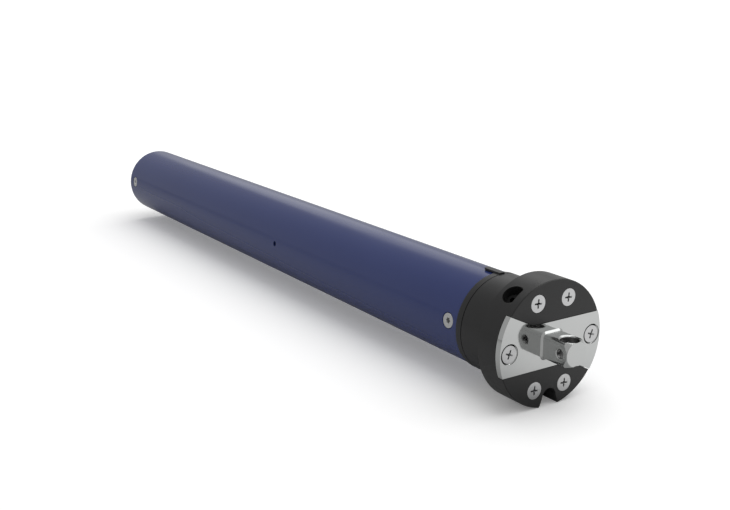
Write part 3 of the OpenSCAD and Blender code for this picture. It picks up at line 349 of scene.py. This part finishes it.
for node, piece in nodes.items():
    piece.data.materials.clear()
    piece.data.materials.append(materials[nodeSlot[node]])
print("materials:", len(materials))


# A finer copy of a CAD node: welded, its edges rounded, and its shading set.
# Lengths are in millimetres, angles in degrees: a bend between two faces is part of a curve
# below curveStep, stays a plain crease up to bevelFrom, and is rounded above it

finish = {"weld": 0.002, "flatBelow": 0.3, "curveStep": 12.5, "bevelFrom": 30, "segments": 2,
          "sharpFrom": 50, "areaWeight": 100}


def roundEdges(node, width):
    mesh = nodes[node].data.copy()
    shape = bmesh.new()
    shape.from_mesh(mesh)
    bmesh.ops.remove_doubles(shape, verts=shape.verts, dist=finish["weld"] * mm)
    bmesh.ops.dissolve_limit(shape, angle_limit=math.radians(finish["flatBelow"]),
                             verts=shape.verts, edges=shape.edges)
    for edge in shape.edges:
        bend = math.degrees(edge.calc_face_angle(0))
        edge.smooth = not finish["curveStep"] < bend < finish["bevelFrom"]
    shape.to_mesh(mesh)
    shape.free()
    if "custom_normal" in mesh.attributes:
        mesh.attributes.remove(mesh.attributes["custom_normal"])
    piece = bpy.data.objects.new(node + "_finished", mesh)
    bpy.context.scene.collection.objects.link(piece)
    bevel = piece.modifiers.new("edges", "BEVEL")
    bevel.width = width * mm
    bevel.segments = finish["segments"]
    bevel.limit_method = "ANGLE"
    bevel.angle_limit = math.radians(finish["bevelFrom"])
    bevel.miter_outer = "MITER_ARC"
    finishMesh(piece)
    settle(piece, node)


def finishMesh(piece):
    applyModifiers(piece)
    piece.data.shade_smooth()
    sharp = [edge.index for edge in piece.data.edges if edge.use_edge_sharp]
    piece.data.set_sharp_from_angle(angle=math.radians(finish["sharpFrom"]))
    for index in sharp:
        piece.data.edges[index].use_edge_sharp = True
    flat = piece.modifiers.new("flatFaces", "WEIGHTED_NORMAL")
    flat.keep_sharp = True
    flat.weight = finish["areaWeight"]
    applyModifiers(piece)


def applyModifiers(piece):
    live = piece.evaluated_get(bpy.context.evaluated_depsgraph_get())
    mesh = bpy.data.meshes.new_from_object(live)
    piece.modifiers.clear()
    piece.data = mesh


def settle(piece, node):
    slotName = nodeSlot[node]
    piece.data.materials.clear()
    piece.data.materials.append(materials[slotName])
    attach(piece, nodeBody[node])
    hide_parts(node)


# Width of the rounded edges in millimetres

edgeRounding = {
    "head_cover": 0.25, "head_body": 0.25, "mounting_plate": 0.2, "crown_ring": 0.2,
    "motor_tube": 0.25, "end_cap": 0.3, "cable_socket": 0.2, "limit_screw_up": 0.15,
    "limit_screw_down": 0.15, "tube_hub": 0.3, "limit_frame": 0.25, "limit_posts": 0.2,
    "cam_drum": 0.15, "limit_switches": 0.4, "switch_plunger_up": 0.2,
    "switch_plunger_down": 0.2, "electrics_tray": 0.3, "board_parts": 0.5, "capacitor": 0.9,
    "front_bell": 0.4, "rear_bell": 0.4, "rotor": 0.4, "rotor_bushes": 0.2, "brake_yoke": 0.3,
    "brake_plate": 0.3, "brake_disc": 0.3, "gearbox_cover": 0.3, "carrier_1": 0.25,
    "carrier_2": 0.25, "output_carrier": 0.35, "output_bush": 0.2, "output_clip": 0.15,
}
for node, width in edgeRounding.items():
    roundEdges(node, width)
print("rounded pieces:", len(edgeRounding))


# Grown pieces: each tree makes one shape in millimetres and sets it on every place it is given

def newShape(name, inputs):
    tree = bpy.data.node_groups.new(name, "GeometryNodeTree")
    tree.interface.new_socket("Places", in_out="INPUT", socket_type="NodeSocketGeometry")
    for label, value in inputs.items():
        kind = {bool: "NodeSocketBool", int: "NodeSocketInt"}.get(type(value), "NodeSocketFloat")
        tree.interface.new_socket(label, in_out="INPUT", socket_type=kind).default_value = value
    tree.interface.new_socket("Material", in_out="INPUT", socket_type="NodeSocketMaterial")
    tree.interface.new_socket("Geometry", in_out="OUTPUT", socket_type="NodeSocketGeometry")
    return tree, tree.nodes.new("NodeGroupInput"), tree.nodes.new("NodeGroupOutput")


def endShape(tree, given, result, shape):
    pointing = place(tree, "GeometryNodeInputNamedAttribute", {"Name": "pointing"},
                     data_type="FLOAT_VECTOR")
    turn = place(tree, "FunctionNodeAlignRotationToVector",
                 {"Vector": pointing.outputs["Attribute"]}, axis="Z")
    spread = place(tree, "GeometryNodeInstanceOnPoints", {
        "Points": given.outputs["Places"], "Instance": shape,
        "Rotation": turn.outputs["Rotation"], "Scale": (mm, mm, mm)})
    real = place(tree, "GeometryNodeRealizeInstances", {"Geometry": spread.outputs["Instances"]})
    painted = place(tree, "GeometryNodeSetMaterial", {
        "Geometry": real.outputs["Geometry"], "Material": given.outputs["Material"]})
    feed(tree, result.inputs["Geometry"], painted.outputs["Geometry"])
    return tree


# A sheet rolled up round Z: gives its mesh, the row number and the angle of each point

def rolledSheet(tree, rows, segments):
    sheet = place(tree, "GeometryNodeMeshGrid", {
        "Size X": 1.0, "Size Y": 1.0, "Vertices X": rows,
        "Vertices Y": calc(tree, "ADD", segments, 1.0)})
    where = tree.nodes.new("GeometryNodeInputPosition").outputs["Position"]
    split = place(tree, "ShaderNodeSeparateXYZ", {"Vector": where})
    last = calc(tree, "SUBTRACT", rows, 1.0)
    row = calc(tree, "ROUND", calc(tree, "MULTIPLY", calc(tree, "ADD", split.outputs["X"], 0.5),
                                   last))
    angle = calc(tree, "MULTIPLY", calc(tree, "ADD", split.outputs["Y"], 0.5), 2 * math.pi)
    return sheet.outputs["Mesh"], row, last, angle


def rollUp(tree, sheet, radius, angle, height):
    moved = place(tree, "GeometryNodeSetPosition", {
        "Geometry": sheet, "Position": ringPoint(tree, radius, angle, height)})
    return place(tree, "GeometryNodeMergeByDistance", {
        "Geometry": moved.outputs["Geometry"], "Distance": nearlyNone}).outputs["Geometry"]


def pickByRow(tree, index, values):
    made = place(tree, "GeometryNodeIndexSwitch", data_type="FLOAT")
    while len(made.index_switch_items) < len(values):
        made.index_switch_items.new()
    feed(tree, made.inputs["Index"], index)
    for number, value in enumerate(values):
        feed(tree, made.inputs[number + 1], value)
    return made.outputs[0]


# Flat-headed screw with a cross or six-lobe recess and a real thread, its face at Z = 0.
# Its sheet has nine rows for the head, then the thread's rows, then three for the tip

def makeScrewTree():
    tree, given, result = newShape("flatScrew", {
        "Head Radius": 5.5, "Head Height": 3.0, "Head Edge": 0.4, "Shank Radius": 3.0,
        "Length": 16.0, "Plain Length": 0.6, "Pitch": 1.0, "Thread Depth": 0.6,
        "Recess Reach": 2.8, "Recess Width": 0.557, "Recess Depth": 2.2, "Recess Floor": 0.8,
        "Recess Turn": 0.0, "Recess Break": 0.06, "Core Share": 2.1, "Lobe Depth": 0.13,
        "Six Lobes": False, "Round Break": 0.12, "Tip Share": 0.6, "Steps per Turn": 8,
        "Segments": 96})
    get = given.outputs
    headRows, tipRows, lobeCount = 9.0, 3.0, 6.0
    start = calc(tree, "MULTIPLY", -1.0, calc(tree, "ADD", get["Head Height"],
                                              get["Plain Length"]))
    end = calc(tree, "SUBTRACT", calc(tree, "MULTIPLY", get["Tip Share"], get["Pitch"]),
               get["Length"])
    turns = calc(tree, "DIVIDE", calc(tree, "SUBTRACT", start, end), get["Pitch"])
    threadRows = calc(tree, "CEIL", calc(tree, "MULTIPLY", turns, get["Steps per Turn"]))
    rows = calc(tree, "ADD", threadRows, headRows + tipRows)
    sheet, row, last, angle = rolledSheet(tree, rows, get["Segments"])
    # Outline of the recess, seen from above
    turned = calc(tree, "ADD", angle, calc(tree, "RADIANS", get["Recess Turn"]))
    cosine = calc(tree, "ABSOLUTE", calc(tree, "COSINE", turned))
    sine = calc(tree, "ABSOLUTE", calc(tree, "SINE", turned))
    near = calc(tree, "DIVIDE", get["Recess Reach"], calc(tree, "MAXIMUM", cosine, sine))
    far = calc(tree, "DIVIDE", get["Recess Width"],
               calc(tree, "MAXIMUM", calc(tree, "MINIMUM", cosine, sine), nearlyNone))
    cross = calc(tree, "MAXIMUM", calc(tree, "MINIMUM", near, far),
                 calc(tree, "MULTIPLY", get["Recess Width"], get["Core Share"]))
    wave = calc(tree, "COSINE", calc(tree, "MULTIPLY", turned, lobeCount))
    wave = calc(tree, "MULTIPLY_ADD", wave, get["Lobe Depth"],
                calc(tree, "SUBTRACT", 1.0, get["Lobe Depth"]))
    lobes = calc(tree, "MULTIPLY", get["Recess Reach"], wave)
    recess = place(tree, "GeometryNodeSwitch", {
        "Switch": get["Six Lobes"], "False": cross, "True": lobes}, input_type="FLOAT").outputs[0]
    wall = calc(tree, "MULTIPLY", recess, get["Recess Floor"])
    # Thread: a ridge that climbs one pitch each turn, and runs out at both ends
    along = calc(tree, "DIVIDE", calc(tree, "SUBTRACT", row, headRows), threadRows)
    height = calc(tree, "MULTIPLY_ADD", along, calc(tree, "SUBTRACT", end, start), start)
    climb = calc(tree, "ADD", calc(tree, "DIVIDE", height, get["Pitch"]),
                 calc(tree, "DIVIDE", angle, 2 * math.pi))
    groove = calc(tree, "MULTIPLY", calc(tree, "PINGPONG", climb, 0.5), 2.0)
    fade = calc(tree, "MINIMUM", calc(tree, "MULTIPLY", along, turns), 1.0)
    depth = calc(tree, "MULTIPLY", calc(tree, "MULTIPLY", groove, fade), get["Thread Depth"])
    thread = calc(tree, "SUBTRACT", get["Shank Radius"], depth)
    tip = calc(tree, "SUBTRACT", get["Shank Radius"], get["Thread Depth"])
    breakIn = calc(tree, "SUBTRACT", get["Head Radius"], get["Round Break"])
    down = {name: calc(tree, "MULTIPLY", get[name], -1.0)
            for name in ("Recess Depth", "Recess Break", "Round Break", "Head Edge",
                         "Head Height", "Length")}
    rim = calc(tree, "ADD", recess, get["Recess Break"])
    threadEnd = calc(tree, "SUBTRACT", last, tipRows - 1)
    afterThread = calc(tree, "MAXIMUM", 0.0, calc(tree, "SUBTRACT", row, threadEnd))
    index = calc(tree, "ADD", calc(tree, "MINIMUM", row, headRows), afterThread)
    radius = pickByRow(tree, index, [
        0.0, wall, recess, rim, breakIn, get["Head Radius"], get["Head Radius"],
        get["Shank Radius"], get["Shank Radius"], thread, tip, 0.0])
    z = pickByRow(tree, index, [
        down["Recess Depth"], down["Recess Depth"], down["Recess Break"], 0.0, 0.0,
        down["Round Break"], down["Head Edge"], down["Head Height"], start, height,
        down["Length"], down["Length"]])
    return endShape(tree, given, result, rollUp(tree, sheet, radius, angle, z))


# Ring of laid wires, with a lacing cord wound round it, standing on Z = 0

def makeCoilTree():
    tree, given, result = newShape("woundRing", {
        "Inner Radius": 16.0, "Outer Radius": 25.0, "Length": 17.0, "Strands": 36,
        "Ridge": 0.07, "Sway": 0.5, "Segments": 128, "Cord Radius": 0.35, "Cord Turns": 24})
    get = given.outputs
    rowsPerStrand, pointsPerTurn, swaysPerRing, squareness = 4.0, 32.0, 5.0, 0.5
    cordSides = 8
    rows = calc(tree, "MULTIPLY_ADD", get["Strands"], rowsPerStrand, 1.0)
    sheet, row, last, angle = rolledSheet(tree, rows, get["Segments"])
    middle = calc(tree, "MULTIPLY", 0.5, calc(tree, "ADD", get["Inner Radius"],
                                              get["Outer Radius"]))
    halfHeight = calc(tree, "SUBTRACT", calc(tree, "SUBTRACT", get["Outer Radius"], middle),
                      get["Cord Radius"])
    halfLength = calc(tree, "SUBTRACT", calc(tree, "MULTIPLY", 0.5, get["Length"]),
                      get["Cord Radius"])
    centre = calc(tree, "MULTIPLY", 0.5, get["Length"])

    def aroundSection(turn, shrink):
        parts = []
        for operation, half in (("SINE", halfHeight), ("COSINE", halfLength)):
            wave = calc(tree, operation, turn)
            full = calc(tree, "MULTIPLY", calc(tree, "SIGN", wave),
                        calc(tree, "POWER", calc(tree, "ABSOLUTE", wave), squareness))
            parts.append(calc(tree, "MULTIPLY", calc(tree, "MULTIPLY", full, shrink), half))
        return calc(tree, "ADD", middle, parts[0]), calc(tree, "ADD", centre, parts[1])

    turn = calc(tree, "MULTIPLY", calc(tree, "DIVIDE", row, last), 2 * math.pi)
    drift = calc(tree, "MULTIPLY", get["Sway"],
                 calc(tree, "SINE", calc(tree, "MULTIPLY", angle, swaysPerRing)))
    phase = calc(tree, "ADD", calc(tree, "MULTIPLY", turn, calc(tree, "MULTIPLY",
                                                              get["Strands"], 0.5)), drift)
    ridge = calc(tree, "SUBTRACT", 1.0, calc(tree, "ABSOLUTE", calc(tree, "SINE", phase)))
    shrink = calc(tree, "SUBTRACT", 1.0, calc(tree, "MULTIPLY", ridge, get["Ridge"]))
    radius, z = aroundSection(turn, shrink)
    bundle = rollUp(tree, sheet, radius, angle, z)
    # The cord is a long line bent round the ring, one loop for each turn
    points = calc(tree, "MULTIPLY", get["Cord Turns"], pointsPerTurn)
    line = place(tree, "GeometryNodeCurvePrimitiveLine")
    fine = place(tree, "GeometryNodeResampleCurve", {
        "Curve": line.outputs["Curve"], "Count": points})
    along = tree.nodes.new("GeometryNodeSplineParameter").outputs["Factor"]
    loop = calc(tree, "MULTIPLY", calc(tree, "MULTIPLY", along, get["Cord Turns"]), 2 * math.pi)
    around = calc(tree, "MULTIPLY", along, 2 * math.pi)
    cordRadius, cordZ = aroundSection(loop, 1.0)
    bent = place(tree, "GeometryNodeSetPosition", {
        "Geometry": fine.outputs["Curve"],
        "Position": ringPoint(tree, cordRadius, around, cordZ)})
    section = place(tree, "GeometryNodeCurvePrimitiveCircle", {"Radius": get["Cord Radius"]})
    section.inputs["Resolution"].default_value = cordSides
    cord = place(tree, "GeometryNodeCurveToMesh", {
        "Curve": bent.outputs["Geometry"], "Profile Curve": section.outputs["Curve"],
        "Fill Caps": True})
    both = tree.nodes.new("GeometryNodeJoinGeometry")
    tree.links.new(bundle, both.inputs["Geometry"])
    tree.links.new(cord.outputs["Mesh"], both.inputs["Geometry"])
    return endShape(tree, given, result, both.outputs["Geometry"])


# Helical spring standing on Z = 0

def makeSpringTree():
    tree, given, result = newShape("coilSpring", {
        "Mean Radius": 1.65, "Wire Radius": 0.35, "Length": 12.0, "Turns": 7.0})
    get = given.outputs
    pointsPerTurn, wireSides = 28, 12
    rise = calc(tree, "SUBTRACT", get["Length"], calc(tree, "MULTIPLY", get["Wire Radius"], 2.0))
    spiral = place(tree, "GeometryNodeCurveSpiral", {
        "Rotations": get["Turns"], "Start Radius": get["Mean Radius"],
        "End Radius": get["Mean Radius"], "Height": rise})
    spiral.inputs["Resolution"].default_value = pointsPerTurn
    section = place(tree, "GeometryNodeCurvePrimitiveCircle", {"Radius": get["Wire Radius"]})
    section.inputs["Resolution"].default_value = wireSides
    wire = place(tree, "GeometryNodeCurveToMesh", {
        "Curve": spiral.outputs["Curve"], "Profile Curve": section.outputs["Curve"],
        "Fill Caps": True})
    lift = place(tree, "ShaderNodeCombineXYZ", {"Z": get["Wire Radius"]})
    raised = place(tree, "GeometryNodeTransform", {
        "Geometry": wire.outputs["Mesh"], "Translation": lift.outputs["Vector"]})
    return endShape(tree, given, result, raised.outputs["Geometry"])


screwTree, coilTree, springTree = makeScrewTree(), makeCoilTree(), makeSpringTree()


def makePlaces(name, places):
    mesh = bpy.data.meshes.new(name)
    mesh.from_pydata([Vector(spot) * mm for spot, facing in places], [], [])
    pointing = mesh.attributes.new("pointing", "FLOAT_VECTOR", "POINT")
    for index, (spot, facing) in enumerate(places):
        pointing.data[index].vector = facing
    piece = bpy.data.objects.new(name, mesh)
    bpy.context.scene.collection.objects.link(piece)
    return piece


def growPiece(node, tree, places, settings):
    piece = makePlaces(node + "_finished", places)
    grown = piece.modifiers.new("grown", "NODES")
    grown.node_group = tree
    names = {item.name: item.identifier for item in tree.interface.items_tree
             if item.item_type == "SOCKET" and item.in_out == "INPUT"}
    for label, value in settings.items():
        grown[names[label]] = value
    grown[names["Material"]] = materials[nodeSlot[node]]
    finishMesh(piece)
    settle(piece, node)
    print("grown:", node, len(piece.data.polygons), "faces")


# Places in millimetres, each with the way the piece's own +Z points

def ringPlaces(x, radius, turns, outwards=False, facing=(1, 0, 0)):
    places = []
    for turn in turns:
        across = math.cos(math.radians(turn)), math.sin(math.radians(turn))
        spot = (x, radius * across[0], radius * across[1])
        places.append((spot, (0, *across) if outwards else facing))
    return places


# Sizes of the grown pieces, all in millimetres; turns are in degrees

headScrew = {"Head Radius": 5.25, "Head Height": 3.0, "Shank Radius": 3.0, "Length": 15.9,
             "Pitch": 1.0, "Thread Depth": 0.6, "Recess Reach": 2.75, "Recess Width": 0.5,
             "Recess Depth": 3.0, "Recess Floor": 0.75, "Recess Turn": 4.0}
plateScrew = {**headScrew, "Recess Turn": 20.0}
tubeScrew = {"Head Radius": 4.65, "Head Height": 2.6, "Shank Radius": 2.5, "Length": 10.0,
             "Pitch": 0.8, "Thread Depth": 0.45, "Recess Reach": 2.1, "Recess Depth": 2.5,
             "Recess Floor": 0.95, "Six Lobes": True}
hubScrew = {"Head Radius": 4.0, "Head Height": 2.2, "Shank Radius": 2.0, "Length": 42.0,
            "Plain Length": 26.0, "Pitch": 0.7, "Thread Depth": 0.4, "Recess Reach": 2.0,
            "Recess Width": 0.398, "Recess Depth": 1.6, "Steps per Turn": 6, "Segments": 64}
brakeBolt = {"Head Radius": 1.5, "Head Height": 0.8, "Head Edge": 0.6, "Shank Radius": 1.5,
             "Length": 36.4, "Plain Length": 22.0, "Pitch": 0.5, "Thread Depth": 0.28,
             "Recess Reach": 0.7, "Recess Width": 0.139, "Recess Depth": 0.5,
             "Steps per Turn": 6, "Segments": 32}
brakeSpring = {"Mean Radius": 1.65, "Wire Radius": 0.35, "Length": 12.2, "Turns": 7.0}
windingEnd = {"Inner Radius": 16.2, "Outer Radius": 24.95, "Length": 17.0, "Strands": 36,
              "Cord Turns": 24}
brakeCoil = {"Inner Radius": 13.7, "Outer Radius": 19.8, "Length": 17.0, "Strands": 40,
             "Sway": 0.1, "Ridge": 0.08, "Cord Radius": 0.25, "Cord Turns": 8}

# Where they go: the head's face is at X = 0, and the tube runs towards -X.
# The wall screws hold the hub and the end cap in the tube, from outside

spots = {
    "coverY": 11.5, "coverZ": 26, "plateX": -0.1, "plateY": 31.4,
    "wallRadius": 29.75, "wallTurns": (174, 294, 54), "hubWallX": -57.9, "capWallX": -570.5,
    "hubX": -73.3, "hubRadius": 17.0, "hubTurns": (30, 150, 215, 325),
    "boltX": -469.1, "springX": -493.3, "brakeRadius": 23.85, "boltTurns": (30, 150, 270),
    "springTurns": (90, 210, 330), "windingX": (-460.1, -323.1), "coilX": -492.1}
towardsHead, towardsTube = (1, 0, 0), (-1, 0, 0)
coverSpots = [((0, y, z), towardsHead) for y in (-spots["coverY"], spots["coverY"])
              for z in (-spots["coverZ"], spots["coverZ"])]
plateSpots = [((spots["plateX"], y, 0), towardsHead)
              for y in (-spots["plateY"], spots["plateY"])]
grownPieces = {
    "cover_screws": (screwTree, headScrew, coverSpots),
    "plate_screws": (screwTree, plateScrew, plateSpots),
    "tube_screws": (screwTree, tubeScrew, ringPlaces(
        spots["hubWallX"], spots["wallRadius"], spots["wallTurns"], True)),
    "gearbox_screws": (screwTree, tubeScrew, ringPlaces(
        spots["capWallX"], spots["wallRadius"], spots["wallTurns"], True)),
    "hub_screws": (screwTree, hubScrew, ringPlaces(
        spots["hubX"], spots["hubRadius"], spots["hubTurns"], facing=towardsTube)),
    "brake_bolts": (screwTree, brakeBolt, ringPlaces(
        spots["boltX"], spots["brakeRadius"], spots["boltTurns"])),
    "brake_springs": (springTree, brakeSpring, ringPlaces(
        spots["springX"], spots["brakeRadius"], spots["springTurns"])),
    "stator_windings": (coilTree, windingEnd, [((x, 0, 0), towardsHead)
                                               for x in spots["windingX"]]),
    "brake_coil": (coilTree, brakeCoil, [((spots["coilX"], 0, 0), towardsHead)]),
}
for node, (tree, sizes, places) in grownPieces.items():
    growPiece(node, tree, places, sizes)


# Floor and light: what mirrors in the motor is brighter towards frontDirection.
# The camera sees a floor that is brighter than the one that lights the motor from below.
# Reaches, sizes and places are in metres, the lamp's power in watts, levels are shares of white

studio = {
    "floorReach": 14.0, "floorBounce": 0.65, "floorGlow": 0.14, "floorNear": 1.0,
    "floorFar": 2.0, "nearReach": 0.6, "farReach": 4.0, "floorBack": 0.50, "floorFront": 0.94,
    "roomBack": 0.47, "roomFront": 0.70, "roomLight": 0.58, "backdrop": 1.0,
    "frontDirection": (0.5, 0.866, 0.0), "frontSoftness": (0.25, 1.0),
    "stripDirection": (-0.80, 0.46, 0.38), "stripLevel": 0.5, "stripSoftness": (0.965, 0.985),
    "lampPlace": (-0.2, 0.5, 1.5), "lampAim": (-0.25, 0, 0), "lampSize": 2.2,
    "lampPower": 16.5}


def makeSurroundings():
    tree, given, result = newGroup("surroundings", {
        "Direction": (1.0, 0.0, 0.0), "Back": 0.4, "Front": 1.0}, ["Level"])
    straight = place(tree, "ShaderNodeVectorMath", {0: given.outputs["Direction"]},
                     operation="NORMALIZE").outputs["Vector"]
    ahead = place(tree, "ShaderNodeVectorMath", {0: straight, 1: studio["frontDirection"]},
                  operation="DOT_PRODUCT").outputs["Value"]
    feed(tree, result.inputs["Level"],
         remap(tree, ahead, given.outputs["Back"], given.outputs["Front"],
               *studio["frontSoftness"]))
    return tree


surroundings = makeSurroundings()


def surroundingLevel(tree, direction, back, front):
    group = place(tree, "ShaderNodeGroup", node_tree=surroundings)
    for label, value in (("Direction", direction), ("Back", back), ("Front", front)):
        feed(tree, group.inputs[label], value)
    return group.outputs["Level"]


def makeFloor():
    reach, z = studio["floorReach"], cadLow.z
    mesh = bpy.data.meshes.new("floor")
    mesh.from_pydata([(-reach, -reach, z), (reach, -reach, z), (reach, reach, z),
                      (-reach, reach, z)], [], [(0, 1, 2, 3)])
    floor = bpy.data.objects.new("floor", mesh)
    bpy.context.scene.collection.objects.link(floor)
    material = bpy.data.materials.new("floor")
    material.use_nodes = True
    tree = material.node_tree
    shader = tree.nodes["Principled BSDF"]
    shader.inputs["Roughness"].default_value = 1.0
    shader.inputs["Specular IOR Level"].default_value = 0.0
    path = tree.nodes.new("ShaderNodeLightPath")
    mirrored = surroundingLevel(tree, objectPoint(tree), studio["floorBack"],
                                studio["floorFront"])
    away = place(tree, "ShaderNodeVectorMath", {0: objectPoint(tree)}, operation="LENGTH")
    seen = remap(tree, away.outputs["Value"], studio["floorNear"], studio["floorFar"],
                 studio["nearReach"], studio["farReach"])
    plain = blendValues(tree, path.outputs["Is Camera Ray"], studio["floorBounce"], seen)
    level = blendValues(tree, path.outputs["Is Glossy Ray"], plain, mirrored)
    grey = place(tree, "ShaderNodeCombineColor", {"Red": level, "Green": level, "Blue": level})
    feed(tree, shader.inputs["Base Color"], grey.outputs["Color"])
    shader.inputs["Emission Color"].default_value = (1, 1, 1, 1)
    feed(tree, shader.inputs["Emission Strength"],
         calc(tree, "MULTIPLY", path.outputs["Is Camera Ray"], studio["floorGlow"]))
    mesh.materials.append(material)


def makeWorld():
    world = bpy.data.worlds.new("studio")
    bpy.context.scene.world = world
    world.use_nodes = True
    tree = world.node_tree
    path = tree.nodes.new("ShaderNodeLightPath")
    direction = tree.nodes.new("ShaderNodeTexCoord").outputs["Generated"]
    mirrored = surroundingLevel(tree, direction, studio["roomBack"], studio["roomFront"])
    strip = place(tree, "ShaderNodeVectorMath", {0: direction, 1: studio["stripDirection"]},
                  operation="DOT_PRODUCT").outputs["Value"]
    mirrored = calc(tree, "ADD", mirrored,
                    remap(tree, strip, 0.0, studio["stripLevel"], *studio["stripSoftness"]))
    plain = blendValues(tree, path.outputs["Is Camera Ray"], studio["roomLight"],
                        studio["backdrop"])
    level = blendValues(tree, path.outputs["Is Glossy Ray"], plain, mirrored)
    background = tree.nodes["Background"]
    background.inputs["Color"].default_value = (1, 1, 1, 1)
    feed(tree, background.inputs["Strength"], level)


def makeLamp():
    light = bpy.data.lights.new("softbox", "AREA")
    light.shape = "SQUARE"
    light.size = studio["lampSize"]
    light.energy = studio["lampPower"]
    lamp = bpy.data.objects.new("softbox", light)
    lamp.location = studio["lampPlace"]
    aim = Vector(studio["lampAim"]) - lamp.location
    lamp.rotation_euler = aim.to_track_quat("-Z", "Y").to_euler()
    bpy.context.scene.collection.objects.link(lamp)


# The camera's place in metres, and the direction it stands in, in degrees

view = {"place": (0.39620, -0.38645, 0.20072), "azimuth": -33.23167, "elevation": 15.25797,
        "lens": 50, "sensor": 36, "reach": 100}


def makeCamera():
    azimuth, elevation = math.radians(view["azimuth"]), math.radians(view["elevation"])
    away = Vector((math.cos(elevation) * math.cos(azimuth),
                   math.cos(elevation) * math.sin(azimuth), math.sin(elevation)))
    lens = bpy.data.cameras.new("camera")
    lens.lens = view["lens"]
    lens.sensor_width = view["sensor"]
    lens.clip_end = view["reach"]
    camera = bpy.data.objects.new("camera", lens)
    camera.location = view["place"]
    camera.rotation_euler = away.to_track_quat("Z", "Y").to_euler()
    bpy.context.scene.collection.objects.link(camera)
    bpy.context.scene.camera = camera


makeFloor()
makeWorld()
makeLamp()
makeCamera()
bpy.context.scene.view_settings.view_transform = "Standard"
print("studio ready")
